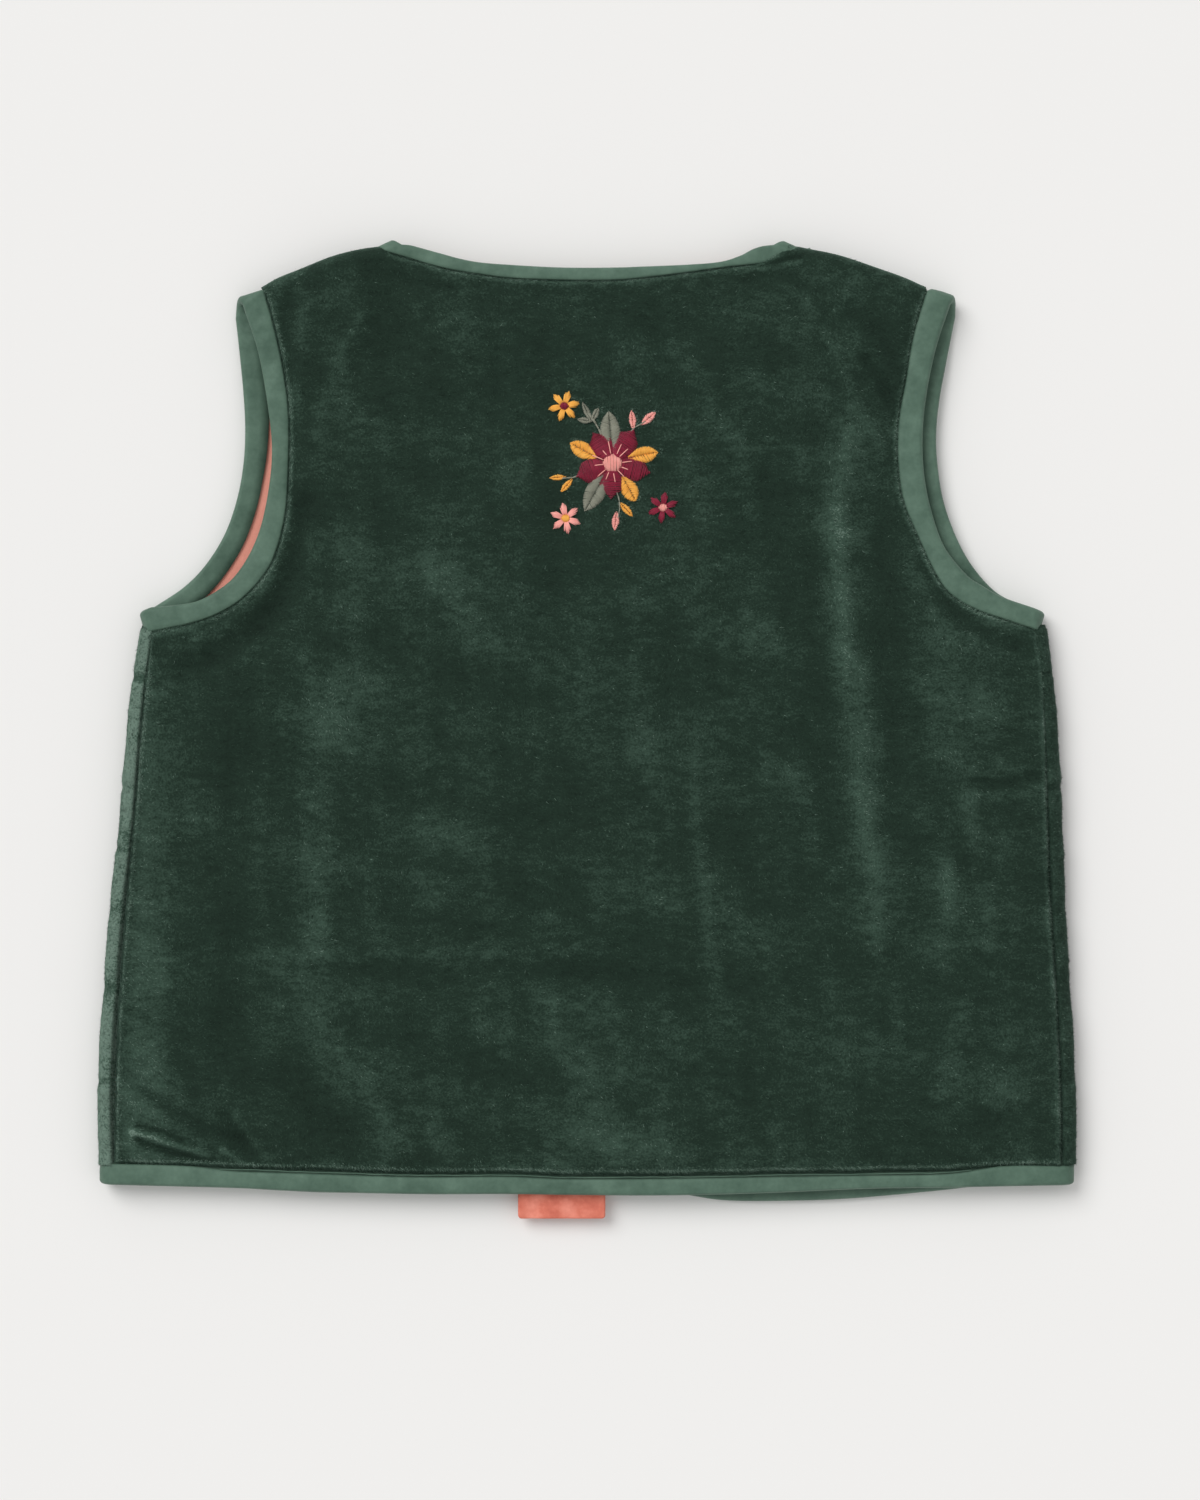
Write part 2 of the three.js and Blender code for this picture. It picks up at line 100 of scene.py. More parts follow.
HEM_FOLD = [(-178, -169.4), (-160, -169.9), (-130, -170.7), (-107, -171.9), (-64, -172.9), (-31, -172.9),
            (-8, -173.2), (28, -173.4), (65, -172.6), (105, -170.9), (132, -170.5), (156, -170),
            (178, -169.6)]
HEM_FRONT = {
    "left": [(-178, -169.4), (-130, -171.3), (-100, -172.9), (-60, -173.1), (-30, -172.9),
             (-1.5, -172.8)],
    "right": [(178, -169.6), (150, -170.4), (132, -172.3), (102, -175), (80, -176), (52, -175.9),
              (30, -172.9), (1.5, -172.8)],
}
NECK_FRONT = {
    "left": [(-71, 178), (-76, 165), (-71, 147), (-55, 130), (-30, 119), (-1.5, 116)],
    "right": [(72, 178), (77, 165), (72, 147), (55, 130), (30, 119), (1.5, 116)],
}
# The side seams on the back, and the garment's outermost line beside them.
SIDE_SEAM = {
    "left": [(-177.4, -161.2), (-176.7, -124), (-175.1, -93), (-172.7, -61.5), (-169.8, -29),
             (-167.3, 2.4), (-164, 38)],
    "right": [(178, -162), (176.6, -109), (173.6, -62), (172.6, -30), (172.1, 0), (171.2, 22),
              (168.5, 38.8)],
}
SIDE_EDGE = {
    "left": [(-183.3, -169), (-184, -134), (-182.2, -100), (-179.6, -66), (-175.9, -32), (-172.1, 12),
             (-168.2, 38), (-167.4, 47)],
    "right": [(183.6, -168.6), (183.9, -140), (182.3, -105), (180, -66), (178.4, -25), (176.4, 10),
              (173.2, 38), (172.4, 45)],
}
# Each shoulder's outermost line, from the armhole to the neck.
SHOULDER_EDGE = {
    "left": [(-133.5, 157.4), (-126, 164.6), (-117.8, 170.4), (-107.6, 174.6), (-95.6, 179.3), (-85, 182),
             (-76, 183.2), (-70.5, 183.8)],
    "right": [(139, 158.6), (132, 165), (121, 170.6), (108.8, 175), (95, 179.6), (84, 182), (77, 183.3),
              (70, 183.8)],
}


def at(line, shares):
    """The points at the given shares of a polyline's length."""
    run = np.concatenate([[0], np.cumsum(np.linalg.norm(np.diff(line, axis=0), axis=1))])
    where = np.asarray(shares) * run[-1]
    return np.stack([np.interp(where, run, line[:, k]) for k in range(line.shape[1])], axis=1)


def spline(points, count):
    """`count` points evenly along a smooth curve through the given ones."""
    p = np.array(points, float)
    p = np.vstack([2 * p[0] - p[1], p, 2 * p[-1] - p[-2]])
    t = np.linspace(0, 1, 24, endpoint=False)[:, None]
    spans = []
    for a, b, c, d in zip(p[:-3], p[1:-2], p[2:-1], p[3:]):
        bend = (2 * a - 5 * b + 4 * c - d) * t**2 + (3 * b - a - 3 * c + d) * t**3
        spans.append(0.5 * (2 * b + (c - a) * t + bend))
    return at(np.vstack(spans + [p[-2:-1]]), np.linspace(0, 1, count))


def crowded(count, strength=0.45):
    """Shares from 0 to 1 that lie closer together towards both ends."""
    t = np.linspace(0, 1, count)
    return t - strength * np.sin(2 * math.pi * t) / (2 * math.pi)


def distance_to(points, line):
    """The distance from each plan point to a polyline."""
    best = np.full(len(points), np.inf)
    for a, b in zip(line[:-1], line[1:]):
        ab = b - a
        t = np.clip(((points - a) @ ab) / max(ab @ ab, 1e-9), 0, 1)
        best = np.minimum(best, np.linalg.norm(points - a - t[:, None] * ab, axis=1))
    return best


def patch(bottom, top, left, right, columns, rows):
    """Plan points of a grid inside four polylines: rows from the bottom, columns from the left."""
    u, v = crowded(columns), crowded(rows)
    b, t = at(bottom, u), at(top, u)
    le, r = at(left, v), at(right, v)
    u, v = u[None, :, None], v[:, None, None]
    ruled = (1 - v) * b[None] + v * t[None] + (1 - u) * le[:, None] + u * r[:, None]
    corners = (1 - u) * (1 - v) * b[0] + u * (1 - v) * b[-1] + (1 - u) * v * t[0] + u * v * t[-1]
    return ruled - corners


# ---------------------------------------------------------------- meshes


def mesh_object(name, vertices, faces, material, slot, tone=None, smooth=True):
    """A piece on the body. `tone` lightens the colour at each vertex above 0: the nap's lie, with painted
    highlights and painted shade.
    """
    mesh = bpy.data.meshes.new(name)
    mesh.from_pydata((np.asarray(vertices) * MM).tolist(), [], [list(map(int, f)) for f in faces])
    if tone is not None:
        layer = mesh.attributes.new("tone", "FLOAT", "POINT")
        layer.data.foreach_set("value", np.asarray(tone, np.float32))
    mesh.materials.append(material)
    piece = bpy.data.objects.new(name, mesh)
    bpy.context.scene.collection.objects.link(piece)
    if smooth:
        mesh.polygons.foreach_set("use_smooth", [True] * len(mesh.polygons))
    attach(piece, "root")
    return piece


def grid_faces(rows, columns, start=0, wrap=False):
    i = np.arange(rows - 1)[:, None]
    j = np.arange(columns if wrap else columns - 1)[None, :]
    a = start + i * columns + j
    b = start + i * columns + (j + 1) % columns
    return np.stack([a, b, b + columns, a + columns], axis=-1).reshape(-1, 4)


def thick_sheet(top, bottom):
    """A closed shell between two grids of points of the same size, the first above the second."""
    rows, columns = top.shape[:2]
    count = rows * columns
    vertices = np.vstack([top.reshape(-1, 3), bottom.reshape(-1, 3)])
    upper = grid_faces(rows, columns)
    lower = grid_faces(rows, columns, count)[:, ::-1]
    ring = np.concatenate([
        np.arange(columns), np.arange(1, rows) * columns + columns - 1,
        np.arange(columns - 2, -1, -1) + (rows - 1) * columns, np.arange(rows - 2, 0, -1) * columns,
    ])
    nxt = np.roll(ring, -1)
    rim = np.stack([ring, ring + count, nxt + count, nxt], axis=1)
    return vertices, np.vstack([upper, lower, rim])


def pucker(run, section, depth, seed):
    """Slanting wrinkles across a tape: a rise for each frame and each point of the section."""
    rng = np.random.default_rng(seed)
    across = section[None, :, 0]
    total = 0
    for wavelength, share in ((31, 0.5), (17, 0.6), (9.5, 0.5), (5.3, 0.3)):
        phase, slant = rng.uniform(0, 2 * math.pi), rng.uniform(-2, 2)
        total = total + share * np.sin(2 * math.pi * run[:, None] / wavelength + phase + slant * across)
    bell = np.sin(math.pi * np.clip(across, 0, 1)) ** 0.7
    return depth * total * bell * np.sign(section[None, :, 1])


def sweep(frames, section, closed=False, depth=0.0, seed=1):
    """A closed section carried along frames of point, into, out and width."""
    point, into, out, width = frames
    run = np.concatenate([[0], np.cumsum(np.linalg.norm(np.diff(point, axis=0), axis=1))])
    d = section[None, :, 0, None] * width[:, None, None]
    rise = section[None, :, 1] + pucker(run, section, depth, seed)
    rings = point[:, None] + into[:, None] * d + out[:, None] * rise[:, :, None]
    rings[..., 2] = np.maximum(rings[..., 2], 0.02)
    rows, columns = rings.shape[:2]
    vertices = rings.reshape(-1, 3)
    faces = [grid_faces(rows, columns, wrap=True)]
    if closed:
        last = np.arange(columns) + (rows - 1) * columns
        first = np.arange(columns)
        faces.append(np.stack([last, np.roll(last, -1), np.roll(first, -1), first], axis=1))
        return vertices, np.vstack(faces).tolist()
    return vertices, np.vstack(faces).tolist() + [list(range(columns))[::-1],
                                                  list(range((rows - 1) * columns, rows * columns))]


# ---------------------------------------------------------------- edges


def flat_frames(fold, seam, z, up):
    """Frames along a bound edge that lies flat, from its fold line and its seam line."""
    point = np.column_stack([fold, np.full(len(fold), z)])
    into = np.column_stack([seam - fold, np.zeros(len(fold))])
    width = np.linalg.norm(into, axis=1)
    out = np.tile([0.0, 0.0, up], (len(fold), 1))
    return point, into / width[:, None], out, width


def offset_line(line, distance):
    """The line moved to its left by a distance."""
    along = np.gradient(line, axis=0)
    along /= np.linalg.norm(along, axis=1)[:, None]
    return line + distance * np.column_stack([-along[:, 1], along[:, 0]])


def join(*parts):
    return tuple(np.concatenate([p[k] for p in parts]) for k in range(4))


def backwards(frames):
    return tuple(f[::-1] for f in frames)


def turn_over(start, end, steps=14):
    """Frames that carry an edge round the roll, from the last of one run to the first of the next."""
    p0, p1 = start[0][-1], end[0][0]
    a0 = start[0][-1] - start[0][-3]
    a1 = end[0][0] - end[0][2]
    way = a0 / np.linalg.norm(a0) + a1 / np.linalg.norm(a1)
    way[2] = 0
    way /= np.linalg.norm(way)
    up = np.sign(p0[2] - p1[2])
    share = np.linspace(0, 1, steps + 2)[1:-1, None]
    angle = np.pi * share
    out = way * np.sin(angle) + np.array([0, 0, up]) * np.cos(angle)
    point = p0 + (p1 - p0) * share
    point[:, 2] = ROLL_Z
    point = point + out * ROLL_R
    into = start[1][-1] + (end[1][0] - start[1][-1]) * share
    into = into - out * np.sum(into * out, axis=1)[:, None]
    into /= np.linalg.norm(into, axis=1)[:, None]
    width = start[3][-1] + (end[3][0] - start[3][-1]) * share[:, 0]
    return point, into, out, width


def armhole_frames(side):
    count = 150
    back = flat_frames(spline(ARMHOLE_FOLD[side], count), spline(ARMHOLE_SEAM[side], count), BACK_Z, 1)
    line = spline(ARMHOLE_FRONT[side], count)
    share = np.linspace(0, 1, count)
    width = np.interp(share, [0, 0.15, 0.5, 0.72, 1], FRONT_ARM_WIDTHS)
    seam = offset_line(line, (-width if side == "left" else width)[:, None])
    point, into, out, width = flat_frames(line, seam, FRONT_Z, -1)
    # The front's edge curls up inside the armhole, so its inner face slopes down to the lining.
    curl = FRONT_CURL * np.sin(math.pi * np.clip((share - 0.03) / 0.9, 0, 1)) ** 0.8
    point[:, 2] += curl
    into[:, 2] = -curl / width
    into /= np.linalg.norm(into, axis=1)[:, None]
    front = backwards((point, into, out, width))
    return join(back, turn_over(back, front), front, turn_over(front, back))


def neck_frames():
    count = 160
    back = flat_frames(spline(NECK_FOLD, count), spline(NECK_SEAM, count), BACK_Z, 1)
    sides = {}
    for side, turn in (("left", -1), ("right", 1)):
        line = spline(NECK_FRONT[side], 90)
        sides[side] = flat_frames(line, offset_line(line, turn * TAPE_WIDTH), FRONT_Z, -1)
    over_right = turn_over(back, sides["right"])
    over_left = turn_over(backwards(back), sides["left"])
    return join(backwards(sides["left"]), backwards(over_left), back, over_right, sides["right"])


HEM_GAP = {"depth": 1.7, "from": -140, "to": 148}


def hem_gap(x):
    """How far the hem tape's inner edge lies below the velvet, which overhangs it."""
    opens = 1 + np.exp(-(x - HEM_GAP["from"]) / 4)
    closes = 1 + np.exp((x - HEM_GAP["to"]) / 4)
    return HEM_GAP["depth"] / opens / closes


def hem_frames():
    seam = spline(HEM_SEAM, 200)
    seam[:, 1] -= hem_gap(seam[:, 0])
    back = flat_frames(spline(HEM_FOLD, 200), seam, BACK_Z, 1)
    sides = {}
    for side, turn in (("left", 1), ("right", -1)):
        line = spline(HEM_FRONT[side], 90)
        sides[side] = flat_frames(line, offset_line(line, turn * TAPE_WIDTH), FRONT_Z, -1)
    over_right = turn_over(back, sides["right"])
    over_left = turn_over(backwards(back), sides["left"])
    return join(backwards(sides["left"]), backwards(over_left), back, over_right, sides["right"])


def opening_frames(side):
    x = -1.5 if side == "left" else 1.5
    y = np.linspace(-163, 106, 60)
    line = np.column_stack([np.full(60, x), y])
    return flat_frames(line, line + [math.copysign(TAPE_WIDTH, x), 0], FRONT_Z, -1)


def tape_section(tongue=1.45):
    """The folded tape: along its velvet side, round the fold, and back along its lining side.

    The tongue is how far below the velvet side its edge lies, where it goes in under the velvet.
    """
    turn = np.linspace(math.pi / 2, 3 * math.pi / 2, 11)
    outer = [(1.3, HALF - tongue - 0.1), (1.06, HALF - tongue)]
    outer += [(0.995, HALF - 0.65 * tongue), (0.965, HALF - 0.3), (0.92, HALF)]
    outer += [(0.75, HALF + 0.1), (0.5, HALF + 0.16), (0.32, HALF + 0.06)]
    outer += [(0.18 + 0.18 * math.cos(a), HALF * math.sin(a)) for a in turn]
    outer += [(0.32, -HALF), (0.6, -HALF), (1.0, -HALF)]
    inner = [(1.0, TAPE - HALF), (0.6, TAPE - HALF), (0.3, TAPE - HALF)]
    inner += [(0.2 + 0.11 * math.cos(a), (HALF - TAPE) * math.sin(a)) for a in turn[::-1]]
    inner += [(0.4, HALF - TAPE), (0.8, HALF - TAPE), (0.9, HALF - 1.1), (0.96, HALF - tongue - 0.4)]
    inner += [(1.3, HALF - tongue - 0.5)]
    return np.array(outer + inner)


# ---------------------------------------------------------------- relief of the back

# Soft ridges and troughs of the padded velvet: the points a crease runs through, its reach, its height
# above or below the padding, and its tone, a painted highlight along a ridge and painted shade along a
# trough.
CREASES = [
    ([(98, 112), (93, 78), (96, 42), (100, 10), (104, -20), (106, -45), (108, -78)], 6, 1.5, 1.05),
    ([(93, 90), (94, 60), (97, 30)], 3.5, 0.3, 0.6),
    ([(111, 84), (112, 40), (115, 0), (113, -34)], 6, -1.0, -0.55),
    ([(84, 66), (87, 0), (92, -44)], 5, -0.6, -0.5),
    ([(82, 160), (92, 145), (100, 126), (111, 105)], 3, 1.0, 0.65),
    ([(105, 140), (111, 130), (116.5, 117), (118.5, 108)], 2.2, -1.6, -0.9),
    ([(100, 158), (110, 148), (116, 136)], 4, -0.5, -0.6),
    ([(127, 56), (134, 26), (140, 0), (142, -20)], 9, 0.7, 0.5),
    ([(142, -24), (144, -40)], 4, 0.9, 0.8),
    ([(134, -48), (136, -70)], 4, 0.8, 0.8),
    ([(152, -66), (160, -70)], 5, 0.4, 0.5),
    ([(144, -18), (156, -19), (172, -15)], 2.2, -1.4, -0.95),
    ([(147, -24), (160, -24), (171, -21)], 2.5, 0.5, 0.3),
    ([(126, 64), (133, 52), (142, 42), (154, 35), (166, 31)], 3.4, -1.5, -0.9),
    ([(40, -8), (43, -50), (46, -80), (50, -96)], 2.6, 0.5, 0.5),
    ([(60, -52), (68, -60), (76, -66)], 7, -0.5, -0.5),
    ([(17, 24), (20, 12), (19, -8)], 5, 0.5, 0.5),
    ([(66, 96), (68, 86)], 8, -0.6, -0.6),
    ([(76, 54), (74, 42)], 7, -0.4, -0.5),
    ([(75, -14), (82, -22)], 5, 0.4, 0.5),
    ([(35, 142), (48, 122), (58, 104), (61, 80)], 4, 0.6, 0.4),
    ([(-55, 90), (-57, 70), (-50, 46), (-31, 30)], 7, 0.8, 0.6),
    ([(-88, 76), (-86, 50), (-90, 25), (-96, 0)], 7, 0.7, 0.45),
    ([(-98, 4), (-98, -20), (-101, -50)], 8, 0.8, 0.6),
    ([(-99, -56), (-102, -76)], 6, 0.5, 0.7),
    ([(-103, -84), (-98, -112), (-84, -134)], 8, 0.5, 0.4),
    ([(-46, 152), (-42, 136)], 7, 0.6, 0.5),
    ([(-84, 156), (-92, 142), (-96, 126), (-101, 112)], 3.5, 0.9, 0.55),
    ([(-75, 160), (-74, 132), (-66, 106), (-50, 93)], 9, -0.9, -0.5),
    ([(20, 156), (-6, 143), (-24, 158)], 13, -0.3, -0.4),
    ([(-15, 108), (-12, 62), (-20, 38)], 7, -0.4, -0.4),
    ([(-31, 9), (-15, 15)], 5, -0.5, -0.5),
    ([(-24, -56), (-6, -54)], 14, -0.3, -0.3),
    ([(-60, -38), (-40, -41)], 6, 0.4, 0.45),
    ([(-150, 24), (-132, 33), (-118, 46), (-110, 62), (-106, 86)], 4.5, -1.8, -1.0),
    ([(-146, 35), (-131, 44), (-122, 53), (-115, 66)], 2.6, 0.9, 0.45),
    ([(-130, 12), (-135, -50), (-136, -122)], 10, -0.5, -0.5),
    ([(-116, -130), (-102, -141), (-90, -150)], 8, -0.8, -0.7),
    ([(-98, -90), (-40, -89), (60, -93)], 4.5, -0.5, -0.5),
    ([(-130, -85), (-90, -83), (-40, -82), (4, -81)], 3, 0.5, 0.45),
    ([(-26, -92), (-19, -112), (-10, -132)], 5, -0.5, -0.45),
    ([(-12, -116), (0, -138), (0, -152), (26, -156)], 10, 0.6, 0.55),
    ([(40, -120), (44, -140), (62, -154)], 8, 0.3, 0.2),
    ([(-172, -128), (-158, -140), (-146, -147), (-130, -153)], 3, -1.3, -0.8),
    ([(-168, -152.4), (-158, -156), (-150, -158.4), (-141, -160.6)], 1.5, -2.4, -1.8),
    ([(-171, -149.4), (-160, -152.8), (-150, -156), (-142, -158.4)], 1.4, 1.0, 1.3),
    ([(-168, -147), (-160, -149.4), (-152, -152.4)], 1.2, -1.3, -1.2),
    ([(-137, -155.6), (-132, -159), (-127, -162)], 1.2, 1.2, 1.4),
    ([(-136, -143), (-130, -150), (-126, -159)], 2.2, -1.2, -0.8),
    ([(-132, -144), (-124, -154), (-120, -160)], 1.8, 0.9, 0.5),
    ([(-72, -140), (-64, -150), (-58, -161)], 3.5, -0.6, -0.5),
    ([(-50, -144), (-44, -152), (-34, -160)], 4, -0.5, -0.4),
    ([(-88, -124), (-78, -140), (-70, -156)], 4, 0.5, 0.35),
    ([(146, -84), (160, -89), (172, -92)], 3, -0.6, -0.45),
    ([(140, -150), (154, -144), (168, -139)], 3, -0.7, -0.45),
    ([(142, -98), (138, -116), (134, -134)], 5, 0.5, 0.4),
    ([(120, -148), (134, -158), (146, -161)], 3.5, -0.6, -0.4),
    ([(-176, 20), (-160, 14)], 4, 0.6, 0.4),
    ([(-174, -28), (-160, -34)], 3, -0.5, -0.4),
    ([(-177, -66), (-162, -74)], 3, -0.5, -0.4),
    ([(-178, -100), (-164, -108)], 3, -0.6, -0.4),
    ([(-111, 162), (-114, 149)], 3, -0.8, -0.7),
    ([(-106, 158), (-108, 140), (-110, 124)], 3.4, 0.5, 0.45),
    ([(-72, 172), (-64, 168.5), (-50, 167)], 2, -0.9, -0.6),
    ([(60, 170), (71, 171), (82, 168)], 2.4, -0.8, -0.5),
    ([(61, 175.6), (66, 176), (73, 177.3), (80, 178.6)], 0.9, -1.6, -1.6),
    ([(60, 173.6), (66, 174.2), (73, 175.5), (80, 176.8)], 0.9, 0.5, 0.9),
    ([(-98, 171), (-112, 165)], 3, -0.4, -0.3),
]
# Broad areas lighter or darker: the nap's lie, and on the left side painted light where the cloth faces the
# lamp. Each has its middle, its reach across and up, and its tone.
NAP_AND_PAINTED_LIGHT_PATCHES = [
    # Painted light along the left side.
    (-166, -60, 11, 80, 1.1),
    (-170, -138, 11, 24, 1.1),
    (0, -140, 40, 16, 0.25),
    (150, 20, 18, 26, 0.3),
    (-60, 145, 60, 30, -0.25),
    (60, -120, 40, 30, -0.1),
    (95, 150, 26, 18, -0.2),
    (-20, -30, 34, 26, -0.15),
    (150, -120, 20, 26, 0.15),
]


def relief(points):
    """The creases' height over plan points, and the tone: painted highlights on their ridges and painted
    shade in their troughs, plus the broad patches.
    """
    height = np.zeros(len(points))
    tone = np.zeros(len(points))
    for line, reach, rise, light in CREASES:
        away = distance_to(points, spline(line, 14))
        share = np.exp(-((away / reach) ** 2))
        height += rise * share
        # Painted light: a crease's tone lightens its ridge and darkens its trough.
        tone += light * share
    for x, y, across, up, light in NAP_AND_PAINTED_LIGHT_PATCHES:
        tone += light * np.exp(-(((points[:, 0] - x) / across) ** 2) - ((points[:, 1] - y) / up) ** 2)
    return height, tone


def waves(points, seed, sizes):
    """Smooth unevenness: a sum of crossed sine waves of the given wavelengths and heights."""
    rng = np.random.default_rng(seed)
    total = np.zeros(len(points))
    for wavelength, height in sizes:
        for _ in range(5):
            angle, phase = rng.uniform(0, math.pi), rng.uniform(0, 2 * math.pi)
            k = 2 * math.pi / (wavelength * rng.uniform(0.75, 1.3))
            total += height / 2.2 * np.sin(k * (points @ [math.cos(angle), math.sin(angle)]) + phase)
    return total


# ---------------------------------------------------------------- materials


def noise_node(nodes, links, place, scale, detail=2.0, stretch=(1, 1, 1)):
    """A noise texture over the object's own space, stretched along its axes."""
    spread = nodes.new("ShaderNodeMapping")
    spread.inputs["Scale"].default_value = stretch
    noise = nodes.new("ShaderNodeTexNoise")
    noise.inputs["Scale"].default_value = scale
    noise.inputs["Detail"].default_value = detail
    links.new(place.outputs["Object"], spread.inputs["Vector"])
    links.new(spread.outputs["Vector"], noise.inputs["Vector"])
    return noise


def weigh(nodes, links, terms, start):
    """The sum of a start and each socket times its weight."""
    total = None
    for socket, weight in terms:
        step = nodes.new("ShaderNodeMath")
        step.operation = "MULTIPLY_ADD"
        step.inputs[1].default_value = weight
        links.new(socket, step.inputs[0])
        if total is None:
            step.inputs[2].default_value = start
        else:
            links.new(total, step.inputs[2])
        total = step.outputs[0]
    return total


def material(name, colours, roughness, noises, sheen=0.0, sheen_tint=(1, 1, 1), weave=None, bump=0.3,
             tone=0.0, distance=0.0003, stops=(0, 1)):
    """Cloth of colours from dark to light, mixed by noises of (scale, weight, stretch).

    It has a weave or a fine bump, a sheen, and may be lighter where its mesh's tone is more; on the velvet
    that tone carries painted highlights and painted shade as well as the nap.
    """
    made = bpy.data.materials.new(name)
    made.use_nodes = True
    nodes, links = made.node_tree.nodes, made.node_tree.links
    shader = nodes["Principled BSDF"]
    shader.inputs["Roughness"].default_value = roughness
    shader.inputs["Specular IOR Level"].default_value = 0.2
    shader.inputs["Sheen Weight"].default_value = sheen
    shader.inputs["Sheen Roughness"].default_value = 0.4
    shader.inputs["Sheen Tint"].default_value = (*sheen_tint, 1)
    place = nodes.new("ShaderNodeTexCoord")
    made_noises = [noise_node(nodes, links, place, scale, 2.0, stretch) for scale, _, stretch in noises]
    terms = [(node.outputs["Fac"], weight) for node, (_, weight, _) in zip(made_noises, noises)]
    if tone:
        # The tone attribute: the nap's lie, with painted highlights and painted shade.
        pile = nodes.new("ShaderNodeAttribute")
        pile.attribute_name = "tone"
        terms.append((pile.outputs["Fac"], tone))
    ramp = nodes.new("ShaderNodeValToRGB")
    ramp.color_ramp.elements[0].position = stops[0]
    ramp.color_ramp.elements[1].position = stops[-1]
    ramp.color_ramp.elements[0].color = (*colours[0], 1)
    ramp.color_ramp.elements[1].color = (*colours[-1], 1)
    for stop, colour in zip(stops[1:-1], colours[1:-1]):
        ramp.color_ramp.elements.new(stop).color = (*colour, 1)
    centre = 0.5 - 0.5 * sum(weight for _, weight, _ in noises)
    links.new(weigh(nodes, links, terms, centre), ramp.inputs["Fac"])
    links.new(ramp.outputs["Color"], shader.inputs["Base Color"])
    raised = nodes.new("ShaderNodeBump")
    raised.inputs["Strength"].default_value = bump
    raised.inputs["Distance"].default_value = distance
    if weave:
        threads = []
        for axis in ("X", "Y"):
            wave = nodes.new("ShaderNodeTexWave")
            wave.bands_direction = axis
            wave.inputs["Scale"].default_value = weave
            wave.inputs["Distortion"].default_value = 1.2
            wave.inputs["Detail Scale"].default_value = 3
            links.new(place.outputs["Object"], wave.inputs["Vector"])
            threads.append(wave)
        both = nodes.new("ShaderNodeMath")
        both.operation = "MULTIPLY"
        links.new(threads[0].outputs["Fac"], both.inputs[0])
        links.new(threads[1].outputs["Fac"], both.inputs[1])
        links.new(both.outputs[0], raised.inputs["Height"])
    else:
        links.new(made_noises[0].outputs["Fac"], raised.inputs["Height"])
    links.new(raised.outputs["Normal"], shader.inputs["Normal"])
    return made


EVEN = (1, 1, 1)
VELVET = material(
    "velvet",
    ((0.0055, 0.0145, 0.009), (0.0122, 0.0288, 0.0185), (0.046, 0.086, 0.062), (0.13, 0.195, 0.155)), 0.9,
    [(1300, 0.62, EVEN), (420, 0.42, (0.45, 1, 1)), (60, 0.14, EVEN)],
    0.18, (0.4, 0.72, 0.55), bump=0.6, tone=0.2, distance=0.0005, stops=(0.08, 0.5, 0.88, 1))
SATEEN = material(
    "sateen", ((0.043, 0.087, 0.061), (0.129, 0.212, 0.158)), 0.52,
    [(700, 0.4, EVEN), (190, 0.5, EVEN), (70, 0.9, EVEN)], 0.12, (0.8, 1, 0.9), weave=1500, bump=0.12)
COTTON = material(
    "lining_cotton", ((0.72, 0.27, 0.2), (0.95, 0.42, 0.33)), 0.85,
    [(900, 0.4, EVEN), (80, 0.9, EVEN)], 0.1, weave=1100)
TAB_CLOTH = material(
    "tab_cotton", ((0.5, 0.1, 0.07), (0.72, 0.2, 0.135), (0.96, 0.36, 0.27)), 0.85,
    [(900, 0.3, EVEN), (130, 1.6, EVEN)], 0.1, weave=1100, stops=(0, 0.45, 1))

# ---------------------------------------------------------------- panels

EDGE_COUNT = 80  # points along a panel's edge lines


def between(line, x0, x1):
    """The stretch of a plan line between two X positions, each end on the line itself."""
    lo, hi = sorted((x0, x1))
    return line[(line[:, 0] >= lo) & (line[:, 0] <= hi)]


# Where the armhole tapes and the neck tape cross the shoulders' outer lines.
SHOULDER_SPAN = {"left": (-122.6, -75), "right": (127.4, 76)}
SHOULDER_LINE = {s: between(spline(SHOULDER_EDGE[s], 400), *SHOULDER_SPAN[s]) for s in ("left", "right")}
ARMHOLE_LINE = {
    s: np.vstack([spline(ARMHOLE_SEAM[s], EDGE_COUNT), SHOULDER_LINE[s][:1]]) for s in ("left", "right")
}
SIDE_LINE = {s: spline(SIDE_SEAM[s], EDGE_COUNT) for s in ("left", "right")}
NECK_LINE = between(spline(NECK_VELVET, 300), -74, 75)
HEM_LINE = spline(HEM_SEAM, 2 * EDGE_COUNT)


def back_plan(columns, rows, inset=0.0):
    """The back's plan grid: hem to shoulders and neck, between the side seams and the armholes.

    It can stop a distance short of the shoulders' outer lines.
    """
    last = -3 if inset else -1
    ends = {s: offset_line(SHOULDER_LINE[s], turn * inset) for s, turn in (("left", -1), ("right", 1))}
    left, right = (np.vstack([SIDE_LINE[s], ARMHOLE_LINE[s][:last], ends[s][:1]]) for s in ("left", "right"))
    top = np.vstack([ends["left"], NECK_LINE, ends["right"][::-1]])
    return patch(HEM_LINE, top, left, right, columns, rows)


